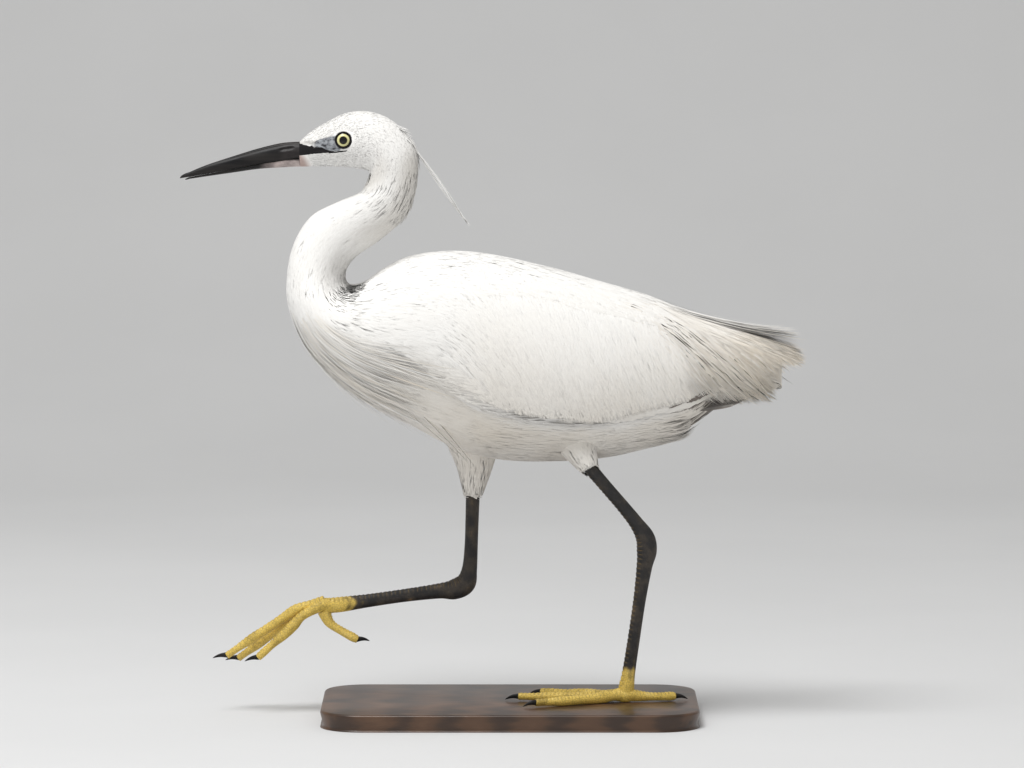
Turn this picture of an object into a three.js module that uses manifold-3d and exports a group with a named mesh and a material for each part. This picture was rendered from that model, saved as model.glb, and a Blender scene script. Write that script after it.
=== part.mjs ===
// Little egret, life size, walking with its right foot lifted, as a museum model on a flat base.
// Millimetres. +X points where the bird walks, +Y to its left, +Z up.
// The origin is the centre of the base's underside.
import * as THREE from "three";
import { mergeVertices } from "three/addons/utils/BufferGeometryUtils.js";
import Module from "manifold-3d";

const wasm = await Module();
wasm.setup();

// Driving dimensions
const GAP = 0.3; // between nodes that touch
const BASE = { length: 264, width: 156, height: 12, corner: 30, bevel: 2 };
const SOLE = BASE.height + GAP; // the level that the standing foot rests on

// Sections of the bird from the bill's base to the ends of its plumes.
// Each has the point on the back, the point on the throat or belly, and half its width.
const SECTIONS = [
  { name: "bill base", back: [147.0, 404.1], front: [146.3, 387.0], half: 6.4 },
  { name: "forehead", back: [138.6, 411.5], front: [137.2, 387.1], half: 9.6 },
  { name: "lore", back: [127.4, 418.2], front: [126.0, 387.1], half: 12.8 },
  { name: "eye", back: [114.8, 424.1], front: [113.4, 386.6], half: 15.0 },
  { name: "crown", back: [100.8, 425.5], front: [101.4, 384.9], half: 16.2 },
  { name: "hind crown", back: [86.8, 421.7], front: [97.6, 382.8], half: 16.8 },
  { name: "nape", back: [74.2, 412.2], front: [98.2, 380.8], half: 17.0 },
  { name: "low nape", back: [65.8, 399.6], front: [99.2, 378.5], half: 17.0 },
  { name: "neck top", back: [64.1, 383.5], front: [100.6, 375.1], half: 16.6 },
  { name: "upper neck", back: [66.5, 366.7], front: [104.6, 368.9], half: 16.8 },
  { name: "neck bend", back: [74.9, 349.9], front: [119.0, 362.8], half: 18.0 },
  { name: "middle neck", back: [92.4, 334.5], front: [138.6, 352.3], half: 19.4 },
  { name: "lower neck", back: [107.8, 324.0], front: [150.5, 334.1], half: 20.6 },
  { name: "neck base", back: [115.2, 312.8], front: [155.4, 313.8], half: 23.5 },
  { name: "notch", back: [112.7, 304.4], front: [154.7, 288.6], half: 31.0 },
  { name: "breast", back: [103.6, 305.1], front: [140.7, 257.8], half: 39.5 },
  { name: "shoulder", back: [88.2, 315.6], front: [109.9, 228.5], half: 46.0 },
  { name: "wrist", back: [68.6, 324.7], front: [70.0, 206.4], half: 49.5 },
  { name: "fore back", back: [38.5, 327.9], front: [38.5, 190.6], half: 51.0 },
  { name: "mid back", back: [7.0, 324.7], front: [7.0, 182.1], half: 50.5 },
  { name: "belly", back: [-28.0, 317.7], front: [-28.0, 180.7], half: 48.0 },
  { name: "thighs", back: [-63.0, 307.9], front: [-63.0, 182.8], half: 43.0 },
  { name: "rump", back: [-94.5, 298.8], front: [-94.5, 189.4], half: 36.0 },
  { name: "vent", back: [-122.5, 287.6], front: [-121.1, 198.4], half: 28.5 },
  { name: "tail base", back: [-143.5, 279.6], front: [-141.4, 215.0], half: 22.0 },
  { name: "mid tail", back: [-166.6, 271.9], front: [-166.6, 221.3], half: 16.5 },
  { name: "tail end", back: [-187.6, 264.9], front: [-187.6, 224.1], half: 11.5 },
  { name: "plume end", back: [-209.0, 257.5], front: [-209.0, 227.0], half: 8.0 },
];
const at = Object.fromEntries(SECTIONS.map(({ name }, i) => [name, i]));
const CHEEKY = 0.08; // how much wider each section is below its middle than above it

// Where the bird is parted, counted in sections
const PARTS = {
  head: [0, 7.5],
  neck_upper: [7.5, 9.75],
  neck_middle: [9.75, 11.75],
  neck_lower: [11.75, 13.5],
  torso: [13.5, 23.5],
  tail: [23.5, 25],
};
const RING_STEP = 0.5; // sections between two rings

// Angles from the top of a section, in degrees, of the folded wing's upper and lower edges
const WING_TOP = {
  [at.wrist - 0.2]: 84,
  [at.wrist + 0.1]: 64,
  [at.wrist + 0.5]: 44,
  [at["fore back"]]: 32,
  [at["mid back"]]: 28,
  [at.vent]: 30,
  [at["tail end"]]: 44,
};
const WING_EDGE = {
  [at.wrist - 0.2]: 95,
  [at.wrist]: 98,
  [at["fore back"]]: 114,
  [at["mid back"]]: 121,
  [at.belly]: 125,
  [at.thighs]: 126,
  [at.rump]: 120,
  [at.vent]: 116,
  [at["tail base"]]: 123,
  [at["mid tail"]]: 138,
  [at["tail end"]]: 142,
};
const COLUMNS = { back: 3, wing: 5, flank: 4 }; // faces round one side of a section
// The wing's plate runs from section front to section end, with its two faces so far out from the outline.
// The room cut for it reaches out to clear, and past its edges by rim sections and by slack gaps.
const WING = { front: 16.8, end: 25.6, inner: -7, outer: -4.6, clear: 3, rim: 0.03, slack: 4, rows: 16 };
const FLANK = { depth: 6.6, fade: [1, 0.85, 0.5, 0.15, 0] }; // how far the flank lies under the wing's surface
const TAIL_CORE = -8.6; // how far the tail's core lies out from the outline

// Feathers in rows. A place is a section and an angle in degrees from the back, and sizes are in millimetres.
const VANE_ROWS = [0, 0.24, 0.72, 1]; // where along its length a feather's cross-sections are
const WING_ROWS = [
  {
    // secondaries and primaries along the lower edge, out to the wing's tip
    count: 7,
    roots: [[17.4, 84], [18.4, 94], [19.8, 100], [21.4, 100], [22.9, 96]],
    tips: [[18.3, 116], [19.4, 123], [21.2, 126], [23.4, 119], [25.8, 128]],
    width: 28,
    proud: -4.2,
    seed: 11,
  },
  {
    // greater coverts
    count: 5,
    roots: [[17.5, 66], [18.8, 74], [20.4, 78], [22.0, 78], [23.0, 78]],
    tips: [[18.3, 98], [19.6, 106], [21.4, 107], [23.2, 103], [24.9, 108]],
    width: 33,
    proud: -2.3,
    seed: 23,
  },
  {
    // median coverts and tertials
    count: 4,
    roots: [[17.8, 54], [18.8, 52], [20.2, 52], [21.8, 54], [22.8, 58]],
    tips: [[18.4, 80], [19.6, 84], [21.2, 86], [22.9, 84], [24.4, 86]],
    width: 36,
    proud: -0.4,
    seed: 37,
  },
].map((row) => ({ ...row, sunk: -5.8, step: 1.0, spread: 0.04 }));
const PLUME_ROWS = {
  // from the shoulders over the wings' upper rear, and along the back past the tail
  back: {
    count: 7,
    width: 9,
    roots: [[18.8, 22], [19.8, 21], [20.6, 18], [21.2, 12], [21.8, 5]],
    tips: [[22.6, 82], [24.4, 98], [25.8, 122], [26.8, 76], [27.3, 13]],
    rows: [0, 0.2, 0.46, 0.73, 1],
    proud: 2.15,
    seed: 9,
  },
  breast: {
    count: 4,
    roots: [[14.3, 122], [14.2, 140], [14.2, 158], [14.2, 172]],
    tips: [[16.6, 130], [16.8, 146], [17.0, 160], [17.0, 172]],
    proud: 0.9,
    seed: 3,
  },
  belly: {
    count: 3,
    roots: [[15.3, 130], [15.3, 146], [15.2, 160], [15.2, 171]],
    tips: [[17.4, 136], [17.8, 150], [18.2, 160], [18.3, 169]],
    proud: 2.9,
    seed: 9,
  },
};
const PLUME = { width: 8, sunk: -4, step: 1.0, taper: 0.15, spread: 0.08 };
const BACK_DROP = 2.4; // how far the back lies under the outline where the plumes cover it
// Tail feathers in a stack, each pair lower and further out than the one above
const TAIL_FEATHERS = {
  pairs: 5,
  root: [-134, 1.0, 221.6],
  tip: [-172, 1.6, 223.6],
  down: 1.25,
  out: 2.3,
  width: 13,
  thick: 0.8,
};

// The eyeball's centre and radius, and the ring of the lids round its opening
const EYE = { x: 115.8, z: 406.0, radius: 6.4, out: 9.9, opening: 5.15, lid: 0.85, lidOut: 14.0 };

// The bill, from its base to its tip: the ridge, the line of the mouth and the lower edge
const BILL = [
  { x: 147.5, ridge: 404.4, mouth: 393.4, keel: 387.0, half: 6.0 },
  { x: 159.6, ridge: 403.4, mouth: 391.2, keel: 386.4, half: 5.2 },
  { x: 175.7, ridge: 399.6, mouth: 388.7, keel: 385.3, half: 4.4 },
  { x: 193.2, ridge: 394.2, mouth: 385.3, keel: 382.8, half: 3.5 },
  { x: 211.4, ridge: 388.2, mouth: 381.9, keel: 380.2, half: 2.5 },
  { x: 224.0, ridge: 383.0, mouth: 379.7, keel: 378.3, half: 1.5 },
];
const BILL_TIP = { upper: [230.6, 378.6], lower: [227.0, 378.2] };
const BILL_SIDES = 8;
const GAPE = { start: 148.5, end: 113.0, low: 394.6, high: 398.0, depth: 1.1, height: 0.9 };
const NOSTRIL = { x: 155.5, out: 4.6, z: 399.6, length: 9.0, height: 1.5, depth: 1.6, slope: 0.17 };

// Legs: the middle of each station, and its half thickness fore and aft and across
const LEG = {
  left: {
    thigh: [
      [-33, 22, 222, 24, 10],
      [-42, 22.5, 203, 18, 9.5],
      [-50, 23, 188, 10.5, 8.2],
      [-56, 23.5, 177.6, 6.4, 5.4],
    ],
    shank: [
      [-56, 23.5, 177.6, 4.6, 3.9],
      [-67.2, 22, 164.4, 4.4, 3.6],
      [-79, 20.2, 150.5, 4.5, 3.6],
      [-88.2, 18.6, 138.8, 5.0, 3.9],
      [-94.4, 17.2, 128.6, 6.6, 4.7],
    ],
    tarsus: [
      [-94.4, 17.2, 128.6, 6.6, 4.7],
      [-95.6, 16.6, 119.0, 7.0, 5.1],
      [-93.9, 16.0, 107.4, 5.5, 4.1],
      [-90.6, 14.8, 84.0, 4.4, 3.3],
      [-86.9, 13.6, 58.0, 4.3, 3.2],
      [-83.2, 12.6, 33.0, 4.6, 3.4],
      [-81.8, 12.2, 23.6, 5.4, 4.2],
    ],
    joint: [-80.8, 12, 16.6],
  },
  right: {
    thigh: [
      [27, -25, 212, 24, 16],
      [25.5, -25, 190, 18.5, 14],
      [25, -24.5, 173.6, 12.6, 10.5],
      [26.2, -24, 154.4, 6.8, 6.0],
    ],
    shank: [
      [26.2, -24, 154.4, 4.9, 4.1],
      [26.8, -23.6, 136, 4.7, 3.8],
      [27.4, -23.2, 118, 4.7, 3.8],
      [28.6, -22.8, 101.6, 5.4, 4.3],
      [31.6, -22.5, 91.6, 7.4, 5.0],
    ],
    tarsus: [
      [31.6, -22.5, 91.6, 7.4, 5.0],
      [39.5, -22.4, 87.2, 7.2, 4.9],
      [50.5, -22.3, 86.0, 5.4, 3.9],
      [75.0, -22.2, 82.8, 4.6, 3.4],
      [100, -22.1, 79.2, 4.7, 3.4],
      [118.6, -22, 76.6, 5.4, 3.7],
    ],
    joint: [129.6, -22, 75.6],
  },
};
const LEG_SIDES = 10;

// Toes: points along each, from the foot's joint to the toe's end, then the claw's tip
const TOE = { sides: 7, steps: 7, root: 4.1, end: 2.7, knuckle: 0.14, sink: 3.3 };
const PAD = SOLE + 3.1; // the middle of a toe that lies on the base
const TIP = SOLE + 0.6; // the tip of its claw
const TOES = {
  left: {
    inner: {
      joints: 2,
      points: [[-77, 11, 17], [-62, 3, PAD + 0.6], [-42, -7, PAD], [-22, -15, PAD]],
      claw: [-13, -18.5, TIP],
    },
    middle: {
      joints: 3,
      points: [[-76, 12, 17], [-58, 12, PAD + 0.6], [-32, 11, PAD], [-6, 8, PAD]],
      claw: [3.6, 6.8, TIP],
    },
    outer: {
      joints: 3,
      points: [[-77, 13, 17], [-62, 21, PAD + 0.6], [-40, 31, PAD], [-18, 39, PAD]],
      claw: [-9, 42, TIP],
    },
    hind: {
      joints: 1,
      points: [[-84, 12, 17], [-94, 11, PAD + 0.4], [-106, 9, PAD], [-116, 6.6, PAD]],
      claw: [-125, 4, TIP],
    },
  },
  right: {
    inner: {
      joints: 2,
      points: [
        [132, -20, 76.5], [145.6, -17.5, 69.8], [155.7, -15.5, 59.4],
        [169.4, -13.5, 47.6], [177.8, -12.5, 39.8],
      ],
      claw: [187.2, -12, 37.4],
    },
    middle: {
      joints: 3,
      points: [
        [133, -22, 77.6], [149, -22.4, 73.6], [166.6, -23, 62.4],
        [185.5, -23.6, 50], [200.2, -24, 39.8],
      ],
      claw: [210.4, -24.3, 38.0],
    },
    outer: {
      joints: 3,
      points: [[132, -24, 76.5], [147, -27, 69.6], [165, -31, 57], [181, -34, 45], [192.6, -36, 36.4]],
      claw: [202, -37.3, 34.8],
    },
    hind: {
      joints: 1,
      points: [[131, -21.5, 71], [127, -21, 63.2], [117, -20, 56.8], [107.5, -19, 51.8]],
      claw: [99, -18.2, 51.0],
    },
  },
};
const CLAW = { root: 2.1, sides: 6, steps: 3, arch: 0.8 };

const NAPE_ROOT = 6.7; // the section that the nape plumes grow from
const NAPE_PLUMES = [
  { tip: [32.8, 3.0, 350.0], bow: 1.5 },
  { tip: [28.2, -3.0, 345.2], bow: -1.0 },
];

const PLUMAGE = { color: 0xf4f1ea, roughness: 0.75 };
const BLACK = { color: 0x1b1a1b, roughness: 0.45 };
const YELLOW = { color: 0xd0a63a, roughness: 0.55 };
const IRIS = { color: 0xd9d27c, roughness: 0.1 };
const STAINED_WOOD = { color: 0x3a2416, roughness: 0.5 };

// Numbers and curves
const SIDES = { left: 1, right: -1 };
const rad = THREE.MathUtils.degToRad;
const mix = THREE.MathUtils.lerp;
const ramp = THREE.MathUtils.smoothstep;
const point = ([x, y, z]) => new THREE.Vector3(x, y, z);

// A smooth curve through a list of numbers that lie one apart
function through(values, t) {
  const last = values.length - 1;
  const i = Math.min(Math.max(Math.floor(t), 0), last - 1);
  const f = t - i;
  const [a, b, c, d] = [i - 1, i, i + 1, i + 2].map((k) => values[Math.min(Math.max(k, 0), last)]);
  const slopeB = (c - a) / 2;
  const slopeC = (d - b) / 2;
  const bend = -3 * b + 3 * c - 2 * slopeB - slopeC;
  const twist = 2 * b - 2 * c + slopeB + slopeC;
  return b + f * (slopeB + f * (bend + f * twist));
}

// Straight lines between places listed as {place: value}
function between(places, t) {
  const keys = Object.keys(places).map(Number).sort((a, b) => a - b);
  const next = keys.findIndex((k) => k > t);
  if (next === 0) return places[keys[0]];
  if (next < 0) return places[keys.at(-1)];
  const [low, high] = [keys[next - 1], keys[next]];
  return mix(places[low], places[high], (t - low) / (high - low));
}

// The outline of the bird
function section(t) {
  const value = (pick) => through(SECTIONS.map(pick), t);
  const back = new THREE.Vector3(value((s) => s.back[0]), 0, value((s) => s.back[1]));
  const front = new THREE.Vector3(value((s) => s.front[0]), 0, value((s) => s.front[1]));
  const up = back.clone().sub(front).multiplyScalar(0.5);
  return {
    centre: back.add(front).multiplyScalar(0.5),
    tall: up.length(),
    up: up.normalize(),
    half: value((s) => s.half),
  };
}

// A point on section t, an angle down from the back on one side, and a distance out from the outline
function outline(t, angle, out = 0, side = 1) {
  const { centre, up, tall, half } = section(t);
  const [cos, sin] = [Math.cos(angle), Math.sin(angle)];
  const lean = new THREE.Vector2(cos / tall, sin / half).normalize();
  const high = tall * cos + out * lean.x;
  const wide = half * sin * (1 - CHEEKY * cos) + out * lean.y;
  return centre.addScaledVector(up, high).add(new THREE.Vector3(0, side * wide, 0));
}

const wingTop = (t) => rad(between(WING_TOP, t));
const wingEdge = (t) => rad(between(WING_EDGE, t));

// The angles of the grid lines down one side: over the back, over the wing and over the flank
function gridAngles(t) {
  const angles = [];
  const stretch = (low, high, count) => {
    for (let k = 0; k < count; k++) angles.push(mix(low, high, k / count));
  };
  stretch(0, wingTop(t), COLUMNS.back);
  stretch(wingTop(t), wingEdge(t), COLUMNS.wing);
  stretch(wingEdge(t), Math.PI, COLUMNS.flank);
  angles.push(Math.PI);
  return angles;
}

// How far the flank lies under the outline on grid line k
function flankDrop(t, k) {
  const below = k - COLUMNS.back - COLUMNS.wing;
  if (below < 0) return 0;
  return FLANK.depth * FLANK.fade[below] * ramp(t, at.shoulder, at["fore back"]);
}

// Solids
function solid(geometry) {
  const bare = new THREE.BufferGeometry().setAttribute("position", geometry.getAttribute("position"));
  if (geometry.index) bare.setIndex(geometry.index);
  const merged = mergeVertices(bare, 1e-4);
  const vertProperties = new Float32Array(merged.attributes.position.array);
  const triVerts = new Uint32Array(merged.index.array);
  const made = () => new wasm.Manifold(new wasm.Mesh({ numProp: 3, vertProperties, triVerts }));
  const first = made();
  if (first.volume() > 0) return first;
  for (let i = 0; i < triVerts.length; i += 3) [triVerts[i], triVerts[i + 1]] = [triVerts[i + 1], triVerts[i]];
  return made();
}

// A closed skin over rings of as many points each. A ring of one point is a tip.
function loft(rings) {
  const points = rings.flat();
  const starts = rings.map((_, i) => rings.slice(0, i).reduce((sum, r) => sum + r.length, 0));
  const faces = [];
  for (let i = 0; i + 1 < rings.length; i++) {
    const [a, b] = [rings[i], rings[i + 1]];
    const n = Math.max(a.length, b.length);
    for (let k = 0; k < n; k++) {
      const [a1, a2] = [k, k + 1].map((m) => starts[i] + (m % n % a.length));
      const [b1, b2] = [k, k + 1].map((m) => starts[i + 1] + (m % n % b.length));
      if (a1 !== a2) faces.push(a1, a2, b2);
      if (b1 !== b2) faces.push(a1, b2, b1);
    }
  }
  const cap = (ring, start, turned) => {
    if (ring.length < 3) return;
    const middle = ring.reduce((sum, p) => sum.add(p), new THREE.Vector3()).divideScalar(ring.length);
    const hub = points.push(middle) - 1;
    ring.forEach((_, k) => {
      const edge = [start + k, start + ((k + 1) % ring.length)];
      faces.push(hub, ...(turned ? edge.reverse() : edge));
    });
  };
  cap(rings[0], starts[0], true);
  cap(rings.at(-1), starts.at(-1), false);
  return solid(new THREE.BufferGeometry().setFromPoints(points).setIndex(faces));
}

// A closed plate between two grids of points that match, with the faces split alike on both
function plate(inner, outer) {
  const [rows, columns] = [inner.length, inner[0].length];
  const points = [...inner.flat(), ...outer.flat()];
  const spot = (layer, i, k) => layer * rows * columns + i * columns + k;
  const faces = [];
  for (let i = 0; i + 1 < rows; i++) {
    for (let k = 0; k + 1 < columns; k++) {
      for (const layer of [0, 1]) {
        const [p, q] = [spot(layer, i, k), spot(layer, i, k + 1)];
        const [r, s] = [spot(layer, i + 1, k + 1), spot(layer, i + 1, k)];
        faces.push(...(layer ? [p, q, r, p, r, s] : [p, r, q, p, s, r]));
      }
    }
  }
  const rim = [];
  for (let k = 0; k + 1 < columns; k++) rim.push([0, k]);
  for (let i = 0; i + 1 < rows; i++) rim.push([i, columns - 1]);
  for (let k = columns - 1; k > 0; k--) rim.push([rows - 1, k]);
  for (let i = rows - 1; i > 0; i--) rim.push([i, 0]);
  rim.forEach(([i, k], n) => {
    const [j, m] = rim[(n + 1) % rim.length];
    faces.push(spot(0, i, k), spot(0, j, m), spot(1, j, m), spot(0, i, k), spot(1, j, m), spot(1, i, k));
  });
  return solid(new THREE.BufferGeometry().setFromPoints(points).setIndex(faces));
}

// A tube through stations of [x, y, z, half thickness fore and aft, half thickness across].
// Where it joins another tube, the point before its start or after its end turns its end face,
// and it is pulled back there by half the gap.
function tube(stations, sides, { before, after, trimStart = 0, trimEnd = 0 } = {}) {
  const spots = stations.map(point);
  const line = [before ? point(before) : spots[0], ...spots, after ? point(after) : spots.at(-1)];
  const last = stations.length - 1;
  const rings = stations.map((station, i) => {
    const along = line[i + 2].clone().sub(line[i]).normalize();
    const across = new THREE.Vector3(0, 1, 0).addScaledVector(along, -along.y).normalize();
    const fore = across.clone().cross(along);
    const middle = spots[i].clone();
    if (i === 0) middle.addScaledVector(along, before ? GAP / 2 : trimStart);
    if (i === last) middle.addScaledVector(along, after ? -GAP / 2 : -trimEnd);
    return Array.from({ length: sides }, (_, k) => {
      const turn = (2 * Math.PI * (k + 0.5)) / sides;
      const foreWay = middle.clone().addScaledVector(fore, station[3] * Math.cos(turn));
      return foreWay.addScaledVector(across, station[4] * Math.sin(turn));
    });
  });
  return loft(rings);
}

const fused = (solids) => solids.reduce((whole, piece) => whole.add(piece));
const largest = (body) => body.decompose().sort((a, b) => b.volume() - a.volume())[0];
const CLEAN = 0.01; // edges and slivers smaller than this are closed up

const bird = new THREE.Group();
function addNode(name, body, finish) {
  const { vertProperties, triVerts } = largest(body).simplify(CLEAN).getMesh();
  const geometry = new THREE.BufferGeometry();
  geometry.setAttribute("position", new THREE.BufferAttribute(vertProperties, 3));
  geometry.setIndex(new THREE.BufferAttribute(triVerts, 1));
  geometry.computeVertexNormals();
  const mesh = new THREE.Mesh(geometry, new THREE.MeshStandardMaterial({ metalness: 0, ...finish }));
  mesh.name = name;
  bird.add(mesh);
}

// A stretch of the bird between two sections, with half the gap left at each end
function stretchOf([start, end], out = () => 0, margin = GAP / 2) {
  const rings = [];
  const count = Math.round((end - start) / RING_STEP);
  for (let i = 0; i <= count; i++) {
    const t = mix(start, end, i / count);
    const angles = gridAngles(t);
    const half = (side) => angles.map((angle, k) => outline(t, angle, out(t, k), side));
    const ring = [...half(1), ...half(-1).slice(1, -1).reverse()];
    const ahead = new THREE.Vector3(0, 1, 0).cross(section(t).up);
    const travel = section(t + 0.01).centre.sub(section(t - 0.01).centre);
    if (ahead.dot(travel) < 0) ahead.negate();
    const shift = i === 0 ? margin : i === count ? -margin : 0;
    rings.push(ring.map((p) => p.addScaledVector(ahead, shift)));
  }
  return loft(rings);
}

// A wing's plate over one side of the torso, or the room it takes when it is grown by the gap
function wingPlate(side, grow = 0) {
  const steps = (count) => Array.from({ length: count + 1 }, (_, i) => i / count);
  const places = steps(WING.rows).map((s) => mix(WING.front, WING.end, s));
  const rim = WING.rim * Math.sign(grow);
  const rows = grow ? [WING.front - rim, ...places, WING.end + rim] : places;
  const grid = (out) =>
    rows.map((t) => {
      const angles = steps(COLUMNS.wing).map((w) => mix(wingTop(t), wingEdge(t), w));
      const turn = (grow * WING.slack) / section(t).half;
      const line = grow ? [angles[0] - turn, ...angles, angles.at(-1) + turn] : angles;
      return line.map((angle) => outline(t, angle, out, side));
    });
  return plate(grid(WING.inner - grow), grid(grow ? WING.clear : WING.outer));
}

// A plume in the air along a bowed line, with its flat side up
function plume(root, tip, width, thick, bow) {
  const rows = 5;
  const [lower, upper] = [[], []];
  const along = tip.clone().sub(root).normalize();
  const across = new THREE.Vector3(0, 1, 0);
  const face = across.clone().cross(along).normalize();
  if (face.z < 0) face.negate();
  for (let i = 0; i <= rows; i++) {
    const s = i / rows;
    const middle = root.clone().lerp(tip, s).addScaledVector(face, bow * Math.sin(Math.PI * s));
    const half = (width / 2) * mix(1, 0.25, s);
    lower.push([-half, half].map((y) => middle.clone().addScaledVector(across, y)));
    upper.push([-half, half].map((y) => middle.clone().addScaledVector(across, y).addScaledVector(face, thick)));
  }
  return plate(lower, upper);
}

// A feather that lies along the bird from one place to another, each a section and an angle in degrees.
// Its root is sunk and the rest stands proud, and each long edge lies over or under the next feather's.
function feather({ from, to, side, width, sunk, proud, roll = 0, thick = 0.7, taper = 0.2, rows = VANE_ROWS }) {
  const place = (s) => {
    const out = s < rows[1] ? mix(sunk, proud, s / rows[1]) : proud;
    return outline(mix(from[0], to[0], s), rad(mix(from[1], to[1], s)), out, side);
  };
  const [lower, upper] = [[], []];
  for (const s of rows) {
    const middle = place(s);
    const along = place(s + 0.02).sub(place(s - 0.02)).normalize();
    const { centre, half: girth } = section(mix(from[0], to[0], s));
    const away = middle.clone().sub(centre);
    const out = away.addScaledVector(along, -away.dot(along)).normalize();
    const across = along.clone().cross(out);
    const half = (width / 2) * (s === 0 ? 0.6 : 1) * (1 - (1 - taper) * ramp(s, 0.6, 1));
    const low = [-1, 0, 1].map((c) => {
      const fall = (half * half * c * c) / (2 * girth) + (roll * c * half * 2) / width;
      return middle.clone().addScaledVector(across, half * c).addScaledVector(out, -fall);
    });
    lower.push(low);
    upper.push(low.map((p) => p.clone().addScaledVector(out, thick)));
  }
  return plate(lower, upper);
}

// A seeded run of numbers from -1 to 1
function chance(seed) {
  let state = seed;
  return () => {
    state = (state * 16807) % 2147483647;
    return (2 * state) / 2147483647 - 1;
  };
}

// A row of feathers whose roots and tips run evenly between two pairs of places
function tier({ count, roots, tips, spread = 0, seed = 1, step = 0, ...form }, side) {
  const draw = chance(side > 0 ? seed : 2 * seed + 1);
  return Array.from({ length: count }, (_, i) => {
    const s = i / (count - 1);
    const placeOn = (line) => [0, 1].map((n) => through(line.map((p) => p[n]), s * (line.length - 1)));
    const [from, to] = [placeOn(roots), placeOn(tips)];
    to[0] += spread * draw();
    to[1] += 10 * spread * draw();
    const proud = form.proud + (i % 2) * step;
    return feather({ ...form, from, to, side, proud });
  });
}

// Head
function gapeGroove(side) {
  const rows = 3;
  const rings = [];
  for (let i = 0; i <= rows; i++) {
    const s = i / rows;
    const x = mix(GAPE.start, GAPE.end, s);
    const z = mix(GAPE.low, GAPE.high, s);
    const t = placeOf(x, z).t;
    const surface = outline(t, placeOf(x, z).angle, 0, side);
    const half = (GAPE.height / 2) * mix(1, 0.5, s);
    const ring = [
      [surface.y + side * 2, half],
      [surface.y + side * 2, -half],
      [surface.y - side * GAPE.depth, -half * 0.6],
      [surface.y - side * GAPE.depth, half * 0.6],
    ];
    rings.push(ring.map(([y, up]) => new THREE.Vector3(x, y, z + up)));
  }
  return loft(rings);
}

// The section and angle of a point seen from the side
function placeOf(x, z) {
  const offset = (t) => {
    const { centre, up } = section(t);
    return (x - centre.x) * up.z - (z - centre.z) * up.x;
  };
  let [a, b] = [0, SECTIONS.length - 1];
  for (let n = 0; n < 40; n++) {
    const middle = (a + b) / 2;
    if (offset(a) * offset(middle) <= 0) b = middle;
    else a = middle;
  }
  const { centre, up, tall } = section(a);
  const high = (x - centre.x) * up.x + (z - centre.z) * up.z;
  return { t: a, angle: Math.acos(THREE.MathUtils.clamp(high / tall, -1, 1)) };
}

function eyeBall(side, radius) {
  const ball = new THREE.SphereGeometry(radius, 12, 8).rotateX(Math.PI / 2);
  return solid(ball.translate(EYE.x, side * EYE.out, EYE.z));
}

function makeHead() {
  const pieces = [stretchOf(PARTS.head)];
  for (const side of [1, -1]) {
    const lid = new THREE.TorusGeometry(EYE.opening, EYE.lid, 5, 14).rotateX(Math.PI / 2);
    pieces.push(solid(lid.translate(EYE.x, side * EYE.lidOut, EYE.z)));
  }
  for (const { tip, bow } of NAPE_PLUMES) {
    const root = outline(NAPE_ROOT, 0, -2.5);
    root.y = tip[1] / 2;
    pieces.push(plume(root, point(tip), 2.2, 0.8, bow));
  }
  let head = fused(pieces);
  for (const side of [1, -1]) {
    head = head.subtract(eyeBall(side, EYE.radius + GAP)).subtract(gapeGroove(side));
  }
  return head;
}

// Bill
function billHalf(upper) {
  const rings = BILL.map(({ x, ridge, mouth, keel, half }) => {
    const edge = mouth + (upper ? GAP / 2 : -GAP / 2);
    const reach = (upper ? ridge : keel) - edge;
    return Array.from({ length: BILL_SIDES + 1 }, (_, k) => {
      const angle = (Math.PI * k) / BILL_SIDES;
      const y = half * Math.cos(angle) * (upper ? 1 : 0.9);
      return new THREE.Vector3(x, y, edge + reach * Math.sin(angle) ** 0.85);
    });
  });
  const [x, z] = upper ? BILL_TIP.upper : BILL_TIP.lower;
  return loft([...rings, [new THREE.Vector3(x, 0, z)]]);
}

function nostril(side) {
  const slot = new THREE.SphereGeometry(1, 8, 6).scale(NOSTRIL.length / 2, NOSTRIL.depth, NOSTRIL.height / 2);
  slot.rotateY(NOSTRIL.slope);
  return solid(slot.translate(NOSTRIL.x, side * NOSTRIL.out, NOSTRIL.z));
}

// Legs and feet
function toeStations({ points, joints }) {
  const path = new THREE.CatmullRomCurve3(points.map(point));
  return Array.from({ length: TOE.steps + 1 }, (_, i) => {
    const s = i / TOE.steps;
    const { x, y, z } = path.getPoint(s);
    const swell = 1 + TOE.knuckle * Math.cos(2 * Math.PI * joints * s);
    const radius = mix(TOE.root, TOE.end, s) * (i % TOE.steps ? swell : 1);
    return [x, y, z, radius, radius * 0.95];
  });
}

// All that lies below the standing foot's sole
function belowSole() {
  const depth = 2 * BASE.height;
  const below = new THREE.BoxGeometry(2 * BASE.length, 2 * BASE.width, depth);
  return solid(below.translate(0, 0, SOLE - depth / 2));
}

function foot(name) {
  const { tarsus, joint } = LEG[name];
  const ankleEnd = tarsus.at(-1);
  const hub = [ankleEnd, [...joint, 5.6, 5.2]];
  const pieces = [tube(hub, LEG_SIDES, { before: tarsus.at(-2), trimEnd: -1.5 })];
  for (const toe of Object.values(TOES[name])) {
    pieces.push(tube(toeStations(toe), TOE.sides, { trimStart: -TOE.sink }));
  }
  const whole = fused(pieces);
  if (name === "right") return whole;
  return whole.subtract(belowSole());
}

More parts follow.
